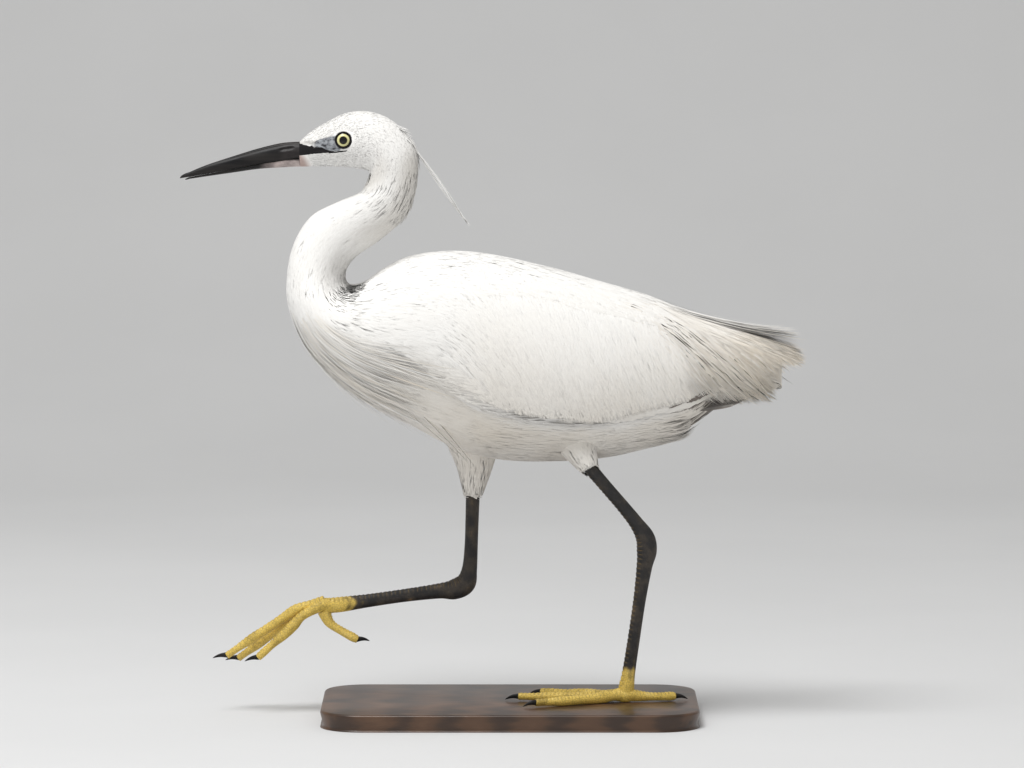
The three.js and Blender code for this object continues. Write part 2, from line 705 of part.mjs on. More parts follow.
// A claw from the end of its toe to its own tip, a little arched
function claw({ points, claw: tip }) {
  const [before, end] = points.slice(-2).map(point);
  const face = end.clone().sub(before).normalize();
  const along = point(tip).sub(end);
  const rings = [];
  for (let i = 0; i < CLAW.steps; i++) {
    const s = i / CLAW.steps;
    const middle = end.clone().addScaledVector(face, GAP).addScaledVector(along, s);
    middle.z += CLAW.arch * Math.sin(Math.PI * s);
    const axis = face.clone().lerp(along.clone().normalize(), Math.min(1, 2 * s)).normalize();
    const across = new THREE.Vector3(0, 1, 0).addScaledVector(axis, -axis.y).normalize();
    const up = across.clone().cross(axis);
    const radius = CLAW.root * (1 - s) ** 0.7;
    const ring = Array.from({ length: CLAW.sides }, (_, k) => {
      const turn = (2 * Math.PI * (k + 0.5)) / CLAW.sides;
      const side = middle.clone().addScaledVector(across, radius * 0.8 * Math.sin(turn));
      return side.addScaledVector(up, radius * Math.cos(turn));
    });
    rings.push(ring);
  }
  return loft([...rings, [point(tip)]]).subtract(belowSole());
}

function stand() {
  const [x, y] = [BASE.length / 2 - BASE.bevel, BASE.width / 2 - BASE.bevel];
  const r = BASE.corner;
  const shape = new THREE.Shape();
  shape.absarc(x - r, y - r, r, 0, Math.PI / 2);
  shape.absarc(-x + r, y - r, r, Math.PI / 2, Math.PI);
  shape.absarc(-x + r, -y + r, r, Math.PI, 1.5 * Math.PI);
  shape.absarc(x - r, -y + r, r, 1.5 * Math.PI, 2 * Math.PI);
  const geometry = new THREE.ExtrudeGeometry(shape, {
    depth: BASE.height - 2 * BASE.bevel,
    bevelThickness: BASE.bevel,
    bevelSize: BASE.bevel,
    bevelSegments: 1,
    curveSegments: 5,
  });
  return solid(geometry.translate(0, 0, BASE.bevel));
}

function thighOf({ thigh, shank }, grow = 0) {
  const stations = thigh.map(([x, y, z, fore, across]) => [x, y, z, fore + 2 * grow, across + 2 * grow]);
  return tube(stations, LEG_SIDES + 2, { after: shank[1] });
}

function makeTail() {
  const { pairs, root, tip, down, out, width, thick } = TAIL_FEATHERS;
  const pieces = [stretchOf(PARTS.tail, () => TAIL_CORE)];
  for (const side of [1, -1]) {
    for (let i = 0; i < pairs; i++) {
      const level = down * (2 * i + (side < 0 ? 1 : 0));
      const end = ([x, y, z], reach) => new THREE.Vector3(x, side * (y + out * i * reach), z - level);
      pieces.push(plume(end(root, 0.5), end(tip, 1), width, thick, 0));
    }
  }
  return fused(pieces);
}

addNode("stand_base", stand(), STAINED_WOOD);
addNode("head", makeHead(), PLUMAGE);
for (const [name, side] of Object.entries(SIDES)) addNode("eye_" + name, eyeBall(side, EYE.radius), IRIS);
addNode("bill_upper", billHalf(true).subtract(nostril(1)).subtract(nostril(-1)), BLACK);
addNode("bill_lower", billHalf(false), BLACK);
for (const name of ["neck_upper", "neck_middle", "neck_lower"]) addNode(name, stretchOf(PARTS[name]), PLUMAGE);

const backDrop = (t, k) => (k < COLUMNS.back ? BACK_DROP * ramp(t, at["fore back"] + 0.5, at.belly) : 0);
const bodyOutline = (t, k) => -flankDrop(t, k) - backDrop(t, k);
let torso = stretchOf(PARTS.torso, bodyOutline);
for (const side of [1, -1]) torso = torso.subtract(wingPlate(side, GAP));
const roomOfBody = stretchOf([PARTS.torso[0], PARTS.torso[1] + 0.5], (t, k) => GAP - flankDrop(t, k), 0);
const roomOfTail = stretchOf(PARTS.tail, () => TAIL_CORE + GAP, -GAP);
const plumesOn = (side) => Object.values(PLUME_ROWS).flatMap((row) => tier({ ...PLUME, ...row }, side));
const plumes = [...plumesOn(1), ...plumesOn(-1)];
const clearPlumes = Object.values(LEG).reduce((whole, leg) => whole.subtract(thighOf(leg, GAP)), fused(plumes));
addNode("torso", torso.add(clearPlumes), PLUMAGE);
for (const [name, side] of Object.entries(SIDES)) {
  let vanes = fused(WING_ROWS.flatMap((row) => tier(row, side)));
  vanes = vanes.subtract(roomOfBody.subtract(wingPlate(side, GAP))).subtract(roomOfTail);
  addNode("wing_" + name, wingPlate(side).add(vanes.subtract(thighOf(LEG[name], GAP))), PLUMAGE);
}
addNode("tail", makeTail(), PLUMAGE);

for (const name of Object.keys(SIDES)) {
  const { thigh, shank, tarsus, joint } = LEG[name];
  const feathered = thighOf(LEG[name]).subtract(roomOfBody).subtract(wingPlate(SIDES[name], GAP));
  addNode("thigh_" + name, feathered, PLUMAGE);
  addNode("shank_" + name, tube(shank, LEG_SIDES, { before: thigh.at(-2), after: tarsus[1] }), BLACK);
  addNode("tarsus_" + name, tube(tarsus, LEG_SIDES, { before: shank.at(-2), after: joint }), BLACK);
  addNode("foot_" + name, foot(name), YELLOW);
  for (const [toe, form] of Object.entries(TOES[name])) addNode(`claw_${name}_${toe}`, claw(form), BLACK);
}

export default bird;
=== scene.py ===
# Little egret, life size, on its base. Sizes are millimetres in the part's own frame until a mesh is made.
import math

import bpy
import numpy as np
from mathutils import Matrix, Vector


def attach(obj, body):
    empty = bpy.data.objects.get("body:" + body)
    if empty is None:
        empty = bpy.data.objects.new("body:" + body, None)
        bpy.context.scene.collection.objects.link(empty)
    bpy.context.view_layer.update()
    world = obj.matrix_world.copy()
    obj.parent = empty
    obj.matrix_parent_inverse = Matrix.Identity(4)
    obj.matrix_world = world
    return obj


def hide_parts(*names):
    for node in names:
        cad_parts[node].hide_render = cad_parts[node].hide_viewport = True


MM = 0.001
SEED = 20
rng = np.random.default_rng(SEED)

# Named sizes
# back x, back z, front x, front z, half width
SECTIONS = np.array([
    [147.0, 404.1, 146.3, 387.0, 6.4], [138.6, 411.5, 137.2, 387.1, 9.6], [127.4, 418.2, 126.0, 387.1, 12.8],
    [114.8, 424.1, 113.4, 386.6, 15.0], [100.8, 425.5, 101.4, 384.9, 16.2], [86.8, 421.7, 97.6, 382.8, 16.8],
    [74.2, 412.2, 98.2, 380.8, 17.0], [65.8, 399.6, 99.2, 378.5, 17.0], [64.1, 383.5, 100.6, 375.1, 16.6],
    [66.5, 366.7, 104.6, 368.9, 16.8], [74.9, 349.9, 119.0, 362.8, 18.0], [92.4, 334.5, 138.6, 352.3, 19.4],
    [107.8, 324.0, 150.5, 334.1, 20.6], [115.2, 312.8, 155.4, 313.8, 23.5], [112.7, 304.4, 154.7, 288.6, 31.0],
    [103.6, 305.1, 140.7, 257.8, 39.5], [88.2, 315.6, 109.9, 228.5, 46.0], [68.6, 324.7, 70.0, 206.4, 49.5],
    [38.5, 327.9, 38.5, 190.6, 51.0], [7.0, 324.7, 7.0, 182.1, 50.5], [-28.0, 317.7, -28.0, 180.7, 48.0],
    [-63.0, 307.9, -63.0, 182.8, 43.0], [-94.5, 298.8, -94.5, 189.4, 36.0], [-122.5, 287.6, -121.1, 198.4, 28.5],
    [-143.5, 279.6, -141.4, 215.0, 22.0], [-166.6, 271.9, -166.6, 221.3, 16.5], [-187.6, 264.9, -187.6, 224.1, 11.5],
    [-209.0, 257.5, -209.0, 227.0, 8.0],
])
CHEEKY = 0.08
WING_TOP = [[16.8, 17.1, 17.5, 18, 19, 23, 26], [84, 64, 44, 32, 28, 30, 44]]
WING_EDGE = [[16.8, 17, 18, 19, 20, 21, 22, 23, 24, 25, 26], [95, 98, 114, 121, 125, 126, 120, 116, 123, 138, 142]]
FLANK_DEPTH = 6.6
EYE = dict(x=115.8, z=406.0, radius=6.4, out=9.9, pupil=2.7, iris=4.45)
BILL = np.array([
    [147.5, 404.4, 393.4, 387.0, 6.0], [159.6, 403.4, 391.2, 386.4, 5.2], [175.7, 399.6, 388.7, 385.3, 4.4],
    [193.2, 394.2, 385.3, 382.8, 3.5], [211.4, 388.2, 381.9, 380.2, 2.5], [224.0, 383.0, 379.7, 378.3, 1.5],
])  # x, ridge, mouth, keel, half width
BILL_TIP = {"upper": (230.4, 378.7), "lower": (226.8, 378.3)}
GAPE = dict(start=148.5, end=112.0, low=394.6, high=398.9)
NOSTRIL = dict(x=155.5, z=399.6, length=9.0, height=1.5, depth=1.3, slope=0.17)
LEG = {
    "left": dict(
        thigh=[[-33, 10, 222, 20, 8], [-42, 12, 203, 16, 8], [-50.5, 19.5, 187, 10.5, 7.8],
               [-56, 23.4, 177.2, 6.4, 5.8]],
        shank=[[-52, 24.1, 182.0, 4.4, 3.8], [-56, 23.5, 177.6, 4.6, 3.9], [-67.2, 22, 164.4, 4.4, 3.6],
               [-79, 20.2, 150.5, 4.5, 3.6], [-88.2, 18.6, 138.8, 5.0, 3.9], [-94.4, 17.2, 128.6, 6.6, 4.7]],
        tarsus=[[-94.4, 17.2, 128.6, 6.6, 4.7], [-95.6, 16.6, 119.0, 7.0, 5.1], [-93.9, 16.0, 107.4, 5.5, 4.1],
                [-90.6, 14.8, 84.0, 4.4, 3.3], [-86.9, 13.6, 58.0, 4.3, 3.2], [-83.2, 12.6, 33.0, 4.6, 3.4],
                [-81.8, 12.2, 23.6, 5.4, 4.2]],
        joint=[-80.8, 12, 16.6]),
    "right": dict(
        thigh=[[27, -25, 212, 24, 16], [25.5, -25, 190, 18.5, 14], [25, -24.5, 173.6, 12.6, 10.5],
               [26.2, -24, 154.4, 6.8, 6.0]],
        shank=[[26.0, -24.1, 158.6, 4.8, 4.0], [26.2, -24, 154.4, 4.9, 4.1], [26.8, -23.6, 136, 4.7, 3.8],
               [27.4, -23.2, 118, 4.7, 3.8], [28.6, -22.8, 101.6, 5.4, 4.3], [31.6, -22.5, 91.6, 7.4, 5.0]],
        tarsus=[[31.6, -22.5, 91.6, 7.4, 5.0], [39.5, -22.4, 87.2, 7.2, 4.9], [50.5, -22.3, 86.0, 5.4, 3.9],
                [75.0, -22.2, 82.8, 4.6, 3.4], [100, -22.1, 79.2, 4.7, 3.4], [118.6, -22, 76.6, 5.4, 3.7]],
        joint=[129.6, -22, 75.6]),
}
SOLE = 12.3
PAD = SOLE + 3.1
TIP = SOLE + 0.6
TOES = {
    "left": {
        "inner": (2, [[-77, 11, 17], [-62, 3, PAD + 0.6], [-42, -7, PAD], [-22, -15, PAD]], [-13, -18.5, TIP]),
        "middle": (3, [[-76, 12, 17], [-58, 12, PAD + 0.6], [-32, 11, PAD], [-6, 8, PAD]], [3.6, 6.8, TIP]),
        "outer": (3, [[-77, 13, 17], [-62, 21, PAD + 0.6], [-40, 31, PAD], [-18, 39, PAD]], [-9, 42, TIP]),
        "hind": (1, [[-84, 12, 17], [-94, 11, PAD + 0.4], [-106, 9, PAD], [-116, 6.6, PAD]], [-125, 4, TIP]),
    },
    "right": {
        "inner": (2, [[132, -20, 76.5], [145.6, -17.5, 69.8], [155.7, -15.5, 59.4], [169.4, -13.5, 47.6],
                      [177.8, -12.5, 39.8]], [187.2, -12, 37.4]),
        "middle": (3, [[133, -22, 77.6], [149, -22.4, 73.6], [166.6, -23, 62.4], [185.5, -23.6, 50],
                       [200.2, -24, 39.8]], [210.4, -24.3, 38.0]),
        "outer": (3, [[132, -24, 76.5], [147, -27, 69.6], [165, -31, 57], [181, -34, 45], [192.6, -36, 36.4]],
                  [202, -37.3, 34.8]),
        "hind": (1, [[131, -21.5, 71], [127, -21, 63.2], [117, -20, 56.8], [107.5, -19, 51.8]], [99, -18.2, 51.0]),
    },
}
TOE_ROOT, TOE_END, KNUCKLE = 4.1, 2.7, 0.14
BASE = dict(length=264, width=156, height=12, corner=30, bevel=2)
SIDES = {"left": 1, "right": -1}
LAST = 27.3  # the section at which the outline ends
TUFTS = dict(head=11500, neck=8000, breast=7800, back=6400, belly=7800, wing=7000, thigh=2000, tail=2400, rear=1300,
             chest=620)
LIGHTS = {"sky": ((0.6, 0.7, 2.3), (0, 0, 0.25), 1.2, 40), "fill": ((1.0, 2.8, 0.8), (0, 0, 0.22), 1.6, 12)}
WORLD = dict(colour=(1.0, 0.985, 0.96, 1.0), strength=0.5)
CAMERA = dict(lens=200.0, sensor=36.0, seen=0.7168, aim=(-0.0014, 0.0, 0.2347), tilt=5)


# Numbers and curves
def unit(v):
    return v / np.maximum(np.linalg.norm(v, axis=-1, keepdims=True), 1e-9)


def ramp(x, low, high):
    f = np.clip((np.asarray(x, float) - low) / (high - low), 0, 1)
    return f * f * (3 - 2 * f)


def circle(count):
    return np.linspace(0, 2 * np.pi, count, endpoint=False)


def lattice(rows, columns):
    return np.meshgrid(rows, columns, indexing="ij")


def by_section(sections, values):
    """A value that changes along the bird, for coat."""
    return lambda t, phi: np.interp(t, sections, values)


def across_and_front(along):
    """Directions across and forward, square to a limb's own."""
    across = unit(np.array([0.0, 1, 0]) - along * along[..., 1:2])
    return across, np.cross(across, along)


def through(values, t):
    """A smooth curve through rows of numbers that lie one apart."""
    values = np.asarray(values, float)
    t = np.asarray(t, float)
    last = len(values) - 1
    i = np.clip(np.floor(t), 0, last - 1).astype(int)
    f = (t - i)[..., None]
    a, b, c, d = (values[np.clip(i + k, 0, last)] for k in (-1, 0, 1, 2))
    sb, sc = (c - a) / 2, (d - b) / 2
    return b + f * (sb + f * (-3 * b + 3 * c - 2 * sb - sc + f * (2 * b - 2 * c + sb + sc)))


# Surfaces, by section t, angle phi and distance out
def body(t, phi, out=0.0):
    bx, bz, fx, fz, half = np.moveaxis(through(SECTIONS, t), -1, 0)
    ux, uz = (bx - fx) / 2, (bz - fz) / 2
    tall = np.hypot(ux, uz)
    ux, uz = ux / tall, uz / tall
    cos, sin = np.cos(phi), np.sin(phi)
    lean_high, lean_wide = cos / tall, sin / half
    size = np.hypot(lean_high, lean_wide)
    high = tall * cos + out * lean_high / size
    wide = half * sin * (1 - CHEEKY * cos) + out * lean_wide / size
    return np.stack([(bx + fx) / 2 + ux * high, wide, (bz + fz) / 2 + uz * high], -1)


def limb_surface(stations):
    stations = np.array(stations, float)

    def surface(t, phi, out=0.0):
        t, phi = np.broadcast_arrays(np.asarray(t, float), np.asarray(phi, float))
        x, y, z, fore, side = np.moveaxis(through(stations, t), -1, 0)
        along = unit(through(stations, t + 0.05)[..., :3] - through(stations, t - 0.05)[..., :3])
        across, front = across_and_front(along)
        middle = np.stack([x, y, z], -1)
        fore, side = fore + out, side + out
        return middle + front * (fore * np.cos(phi))[..., None] + across * (side * np.sin(phi))[..., None]

    return surface


def wing_top(t):
    return np.radians(np.interp(t, *WING_TOP))


def wing_edge(t):
    return np.radians(np.interp(t, *WING_EDGE))


def wing_share(t, a):
    """From 0 at the folded wing's upper edge to 1 at its lower edge."""
    top = wing_top(t)
    return np.clip((a - top) / (wing_edge(t) - top), 0, 1)


def round_angle(phi):
    return np.abs((phi + np.pi) % (2 * np.pi) - np.pi)


def coat_out(t, phi):
    """How far the coat's surface lies from the outline: under the wing's level on the flank, at it elsewhere."""
    a = round_angle(phi)
    edge = wing_edge(t)
    below = np.clip((a - edge) / (np.pi - edge), 0, 1)
    flank = FLANK_DEPTH * 0.5 * (1 + np.cos(np.pi * below)) * ramp(t, 16, 18) * ramp(a - edge, -0.01, 0.05)
    wing = np.interp(wing_share(t, a), [0, 0.5, 1], [0.4, 0.9, 2.4]) * ramp(t, 16.7, 17.6)
    wing = wing * ramp(a, wing_top(t) - 0.3, wing_top(t)) * (1 - ramp(a, edge - 0.02, edge + 0.01))
    back = 1.2 * ramp(t, 18.5, 20) * (1 - ramp(a, wing_top(t) - 0.1, wing_top(t) + 0.3))
    rear = 4.0 * ramp(t, 23.6, 24.6)
    return -(flank + wing + back + rear * ramp(a, edge - 0.05, edge + 0.1))


def skin_depth(t):
    return np.interp(t, [0, 1, 3, 6, 9, 13, 15, 18, 23, 25], [0.1, 0.25, 0.4, 0.6, 0.9, 1.3, 1.6, 1.8, 2.0, 4.0])


# Markings and painted shade, the same for skin and coat
def black_mask(x, z):
    """The black that runs from the bill back to the corner of the mouth."""
    low = np.interp(x, [121, 125.3, 129.5, 139.4, 147], [397.4, 397.4, 397.0, 396.0, 395.0])
    high = np.interp(x, [121, 125.3, 129, 133, 139.4, 147], [397.9, 398.6, 399.9, 401.0, 401.8, 403.4])
    soft = np.interp(x, [122, 129, 134, 147], [0.3, 1.6, 2.2, 1.2])
    return ramp(z, low - 0.4, low + 0.2) * (1 - ramp(z, high - soft, high + soft)) * ramp(x, 120.5, 121.5)


def lore_mask(x, z):
    """Bare grey skin between the eye and the black."""
    high = np.interp(x, [112, 120, 124, 130, 135, 140], [409.0, 409.6, 408.8, 407.4, 405.6, 404.0])
    along = ramp(x, 117, 118.5) * (1 - ramp(x, 134, 139))
    return ramp(z, 397.6, 398.6) * (1 - ramp(z, high - 0.6, high + 0.5)) * along


def gape_mask(x, z, half=0.45):
    line = np.interp(x, [GAPE["end"], 121, GAPE["start"]], [GAPE["high"], 397.5, GAPE["low"]])
    inside = ramp(x, GAPE["end"], GAPE["end"] + 2) * (1 - ramp(x, 124, 130))
    return (1 - ramp(np.abs(z - line), half * 0.5, half * 1.5)) * inside


def pink_mask(x, z):
    """Bare pinkish skin at the root of the lower bill."""
    return ramp(x, 136.5 + (z - 388) * 0.5, 143.5 + (z - 388) * 0.5) * (1 - ramp(z, 394.6, 395.6))


def eye_distance(x, z):
    return np.hypot(x - EYE["x"], z - EYE["z"])


def tail_depth(t):
    """The angle below the wing's edge in which the underside of the tail shows, dark partly in its own colour and
    partly by painted shadow.
    """
    return np.interp(t, [21.4, 22.5, 23.2, 23.7], [0.03, 0.2, 0.5, 3.0])


def marks(points, t, phi):
    """Bare skin, buff, painted shade and black shares at places on the bird; the shade share also holds grey
    mottling.
    """
    x, z = points[..., 0], points[..., 2]
    out = np.zeros(points.shape[:-1] + (4,))
    a = round_angle(phi)
    edge = wing_edge(t)
    face = 1 - ramp(t, 4, 4.4)
    out[..., 0] = lore_mask(x, z) * face
    black = np.maximum(gape_mask(x, z), black_mask(x, z))
    out[..., 3] = np.maximum(black, 1 - ramp(eye_distance(x, z), 5.8, 6.3)) * face
    breast = ramp(t, 13.6, 15.0) * (1 - ramp(t, 17.0, 19.0)) * ramp(a, 1.4, 2.3)
    rear = ramp(t, 20.5, 25.5) * (1 - ramp(a, 1.6, 2.6))
    share = wing_share(t, a) * ramp(t, 17.2, 18.6) * (a < edge)
    flank = ramp(a, edge, edge + 0.3) * ramp(t, 17, 18.5)
    # The buff on the lower wing (share) and on the flank is partly painted warm shade; on the breast and rear it is
    # the plumes' own cream.
    out[..., 1] = np.clip(0.30 * breast + 0.30 * rear + 0.30 * share + 0.36 * flank, 0, 1)
    below = ramp(a, edge - 0.04, edge + 0.1)
    # Painted shade under the belly and on the lower wing.
    under = 0.10 * ramp(t, 16.5, 18.5) * below + 0.22 * ramp(a, 2.25, 2.9) * ramp(t, 16.5, 19) + 0.07 * share ** 2
    # A painted shadow line just under the wing's lower edge.
    line = 0.4 * np.exp(-((a - edge - 0.035) / 0.035) ** 2) * ramp(t, 16.9, 17.4)
    # The tail's underside: its own dark grey and a painted shadow.
    tail = 1.5 * ramp(t, 21.4, 22.2) * ramp(a, edge - 0.02, edge + 0.03)
    tail = tail * (1 - ramp(a - edge - tail_depth(t), -0.08, 0.02))
    fore = 0.6 * ramp(x, 126, 132) * np.exp(-((z - 403.6) / 1.5) ** 2) * face
    # Painted grey-beige shade in the neck's inner bend, on the nape and on the lower cheek; the last two also warm
    # the buff.
    bend_shade = 0.20 * ramp(t, 10.6, 11.6) * (1 - ramp(t, 12.6, 13.6)) * (1 - ramp(a, 1.0, 1.6))
    nape = 0.26 * ramp(t, 5.8, 7.6) * (1 - ramp(t, 9.8, 11.2)) * (1 - ramp(a, 0.7, 1.7))
    cheek_shade = 0.20 * ramp(t, 4.2, 5.6) * (1 - ramp(t, 6.8, 7.8)) * ramp(a, 1.3, 2.3)
    out[..., 1] += 0.7 * (nape + cheek_shade)
    out[..., 2] = np.clip(under + line + bend_shade + nape + cheek_shade + fore, 0, 1) + tail
    return out


# Meshes
def make_mesh(name, points, groups, material, body_name="root", layers=None, uv=None, normals=None):
    """A mesh from points in millimetres and groups of faces with as many corners each."""
    mesh = bpy.data.meshes.new(name)
    points = np.asarray(points, float).reshape(-1, 3)
    mesh.vertices.add(len(points))
    mesh.vertices.foreach_set("co", (points * MM).astype(np.float32).ravel())
    groups = [np.asarray(g, np.int32) for g in groups if len(g)]
    corners = np.concatenate([g.ravel() for g in groups])
    totals = np.concatenate([np.full(len(g), g.shape[1], np.int32) for g in groups])
    mesh.loops.add(len(corners))
    mesh.loops.foreach_set("vertex_index", corners)
    mesh.polygons.add(len(totals))
    mesh.polygons.foreach_set("loop_start", np.concatenate([[0], np.cumsum(totals)[:-1]]).astype(np.int32))
    mesh.polygons.foreach_set("loop_total", totals)
    mesh.update(calc_edges=True)
    mesh.shade_smooth()
    if normals is not None:
        layer = mesh.attributes.new("custom_normal", "FLOAT_VECTOR", "POINT")
        layer.data.foreach_set("vector", np.asarray(normals, np.float32).ravel())
    for label, values in (layers or {}).items():
        layer = mesh.attributes.new(label, "FLOAT_COLOR", "POINT")
        layer.data.foreach_set("color", np.asarray(values, np.float32).ravel())
    if uv is not None:
        layer = mesh.uv_layers.new(name="OFBake")
        layer.data.foreach_set("uv", np.asarray(uv, np.float32)[corners].ravel())
    mesh.materials.append(material)
    piece = bpy.data.objects.new(name, mesh)
    bpy.context.scene.collection.objects.link(piece)
    if body_name:
        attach(piece, body_name)
    return piece


def sheet_faces(rows, columns, start=0):
    """Four-cornered faces of a grid whose columns run round."""
    r, k = lattice(np.arange(rows - 1), np.arange(columns))
    n = (k + 1) % columns
    return start + np.stack([r * columns + k, r * columns + n, (r + 1) * columns + n, (r + 1) * columns + k],
                            -1).reshape(-1, 4)


def lofted(grid, start=0):
    """Points and faces of a closed tube over a grid of rings."""
    rows, columns = grid.shape[:2]
    points = np.concatenate([grid.reshape(-1, 3), grid[0].mean(0)[None], grid[-1].mean(0)[None]])
    k = np.arange(columns)
    n = (k + 1) % columns
    first, last = rows * columns, rows * columns + 1
    near = np.stack([np.full(columns, first), n, k], -1)
    far = np.stack([np.full(columns, last), (rows - 1) * columns + k, (rows - 1) * columns + n], -1)
    caps = np.concatenate([near, far])
    return points, sheet_faces(rows, columns, start=start), caps + start


class Bundle:
    """Closed pieces gathered into one mesh."""

    def __init__(self):
        self.points, self.quads, self.tris, self.layers, self.count = [], [], [], {}, 0

    def add(self, points, quads, tris, **layers):
        self.points.append(points)
        self.quads.append(quads + self.count if len(quads) else np.zeros((0, 4), int))
        self.tris.append(tris + self.count if len(tris) else np.zeros((0, 3), int))
        for label, values in layers.items():
            self.layers.setdefault(label, []).append(values)
        self.count += len(points)

    def loft(self, grid, **layers):
        points, quads, tris = lofted(grid)
        rows = {k: np.concatenate([v.reshape(-1, v.shape[-1]), v[0].mean(0)[None], v[-1].mean(0)[None]])
                for k, v in layers.items()}
        self.add(points, quads, tris, **rows)

    def make(self, name, material):
        layers = {k: np.concatenate(v) for k, v in self.layers.items()}
        uv, normals = layers.pop("uv", None), layers.pop("normals", None)
        return make_mesh(name, np.concatenate(self.points), [np.concatenate(self.quads), np.concatenate(self.tris)],
                         material, layers=layers, uv=uv, normals=normals)


# Feathers
def body_uv(t, phi):
    turn = (phi + np.pi) % (2 * np.pi) / (2 * np.pi)
    return np.stack([0.02 + 0.96 * turn, 0.02 + 0.78 * np.clip(t, 0, 27.4) / 27.4], -1)


def limb_uv(side):
    def uv(t, phi):
        turn = (phi + np.pi) % (2 * np.pi) / (2 * np.pi)
        return np.stack([(0.03 if side > 0 else 0.53) + 0.44 * turn, 0.84 + 0.12 * np.clip(t, 0, 3) / 3], -1)
    return uv


def walk(surface, t, phi, length, sway, steps, limit=LAST):
    """Paths that run from their roots along the bird, turned by sway away from the back."""
    tt, pp = [t], [phi]
    turn = np.tanh(phi * 5) * np.where(np.abs(phi) > 2.7, (np.pi - np.abs(phi)) / (np.pi - 2.7), 1)
    e = 1e-3
    for a, b in zip(steps[:-1], steps[1:]):
        here, angle = tt[-1], pp[-1]
        fore = np.linalg.norm(surface(here + e, angle) - surface(here - e, angle), axis=-1) / (2 * e)
        side = np.linalg.norm(surface(here, angle + e) - surface(here, angle - e), axis=-1) / (2 * e)
        tt.append(np.minimum(here + np.cos(sway) * length * (b - a) / np.maximum(fore, 2), limit))
        pp.append(angle + turn * np.sin(sway) * length * (b - a) / np.maximum(side, 2))
    return np.stack(tt, 1), np.stack(pp, 1)


OWN_SHAPE = 0.22  # how much of a feather's own roundness shows over the bird's
STRAND = np.array([0, 0.3, 0.7, 1])
LOCK = np.array([0, 0.22, 0.5, 0.8, 1])
VANE = np.array([0, 0.15, 0.35, 0.55, 0.72, 0.85, 0.94, 1])
LONG = np.array([0, 0.08, 0.18, 0.3, 0.42, 0.54, 0.66, 0.78, 0.9, 1])


def narrow(s):
    return (0.45 + 0.55 * ramp(s, 0, 0.3)) * (1 - ramp(s, 0.35, 1.05)) + 0.06


def rounded(s):
    return (0.35 + 0.65 * ramp(s, 0, 0.3)) * np.sqrt(np.clip(1 - (np.clip(s - 0.6, 0, 1) / 0.405) ** 2, 0.0, 1))


def strap(s):
    return (0.6 + 0.4 * ramp(s, 0, 0.2)) * (1 - 0.85 * ramp(s, 0.3, 1.0))


def grow(bundle, surface, tt, pp, out, width, steps, profile, uv, thick=0.3, columns=3, marking=None, camber=1.0,
         fade=None, skyward=None):
    """Feathers along paths. Each is closed and has a ridge, two edges that fall away and a pointed end."""
    n, rows = tt.shape
    middle = surface(tt, pp, out)
    up = unit(surface(tt, pp, out + 1) - surface(tt, pp, out))
    along = unit(np.gradient(middle, axis=1))
    across = unit(np.cross(along, up))
    up = np.cross(across, along)
    faced = up
    if skyward is not None:
        share = (skyward[:, None] * ramp(steps, 0.2, 0.7))[..., None]
        faced = unit(faced * (1 - share) + [0, 0, 1.0] * share)
    half = (width[:, None] / 2) * profile(steps)[None]
    c = np.linspace(-1, 1, columns)
    rise = thick * (1 - np.abs(c) ** 1.5)
    drop = camber * (half[..., None] * c) ** 2 / 60
    grid = (middle[:, :, None] + across[:, :, None] * (half[..., None] * c)[..., None]
            + up[:, :, None] * (rise - drop)[..., None])
    soft = unit(faced[:, :, None] + across[:, :, None] * (c * OWN_SHAPE)[:, None])
    soft = np.concatenate([soft[:, :-1].reshape(n, -1, 3), soft[:, -1:, columns // 2]], 1)
    body_rows = grid[:, :-1].reshape(n, -1, 3)
    points = np.concatenate([body_rows, middle[:, -1:]], 1)
    each = points.shape[1]
    quads = sheet_faces(rows - 1, columns)
    k = np.arange(columns)
    edge = np.stack([k, (k + 1) % columns], -1) + (rows - 2) * columns
    tris = np.concatenate([np.column_stack([edge, np.full(columns, each - 1)]),
                           np.column_stack([np.zeros(columns - 2, int), k[2:], k[1:-1]])])
    first = (np.arange(n) * each)[:, None, None]
    root = uv(tt[:, 0], pp[:, 0])
    u = np.concatenate([np.tile(c, rows - 1), [0]]) * 0.0013
    v = np.concatenate([np.repeat(steps[:-1], columns), [1]]) * 0.0028
    uvs = root[:, None] + np.stack([u, v], -1)[None]
    if marking is None:
        marking = marks(surface(tt[:, 0], pp[:, 0]), tt[:, 0], pp[:, 0])
    tone = np.repeat(marking[:, None], each, 1)
    if fade is not None:
        tone[..., 1] *= np.append(np.repeat(fade[:-1], columns), fade[-1])
    vane = np.zeros((n, each, 4))
    vane[..., 0] = np.concatenate([np.tile(c, rows - 1), [0]]) * width[:, None] / 2
    length = np.linalg.norm(np.diff(middle, axis=1), axis=-1).sum(1)
    vane[..., 1] = np.concatenate([np.repeat(steps[:-1], columns), [1]]) * length[:, None]
    vane[..., 2] = rng.random(n)[:, None]
    bundle.add(points.reshape(-1, 3), (quads[None] + first).reshape(-1, 4), (tris[None] + first).reshape(-1, 3),
               mark=tone.reshape(-1, 4), vane=vane.reshape(-1, 4), uv=uvs.reshape(-1, 2),
               normals=soft.reshape(-1, 3))


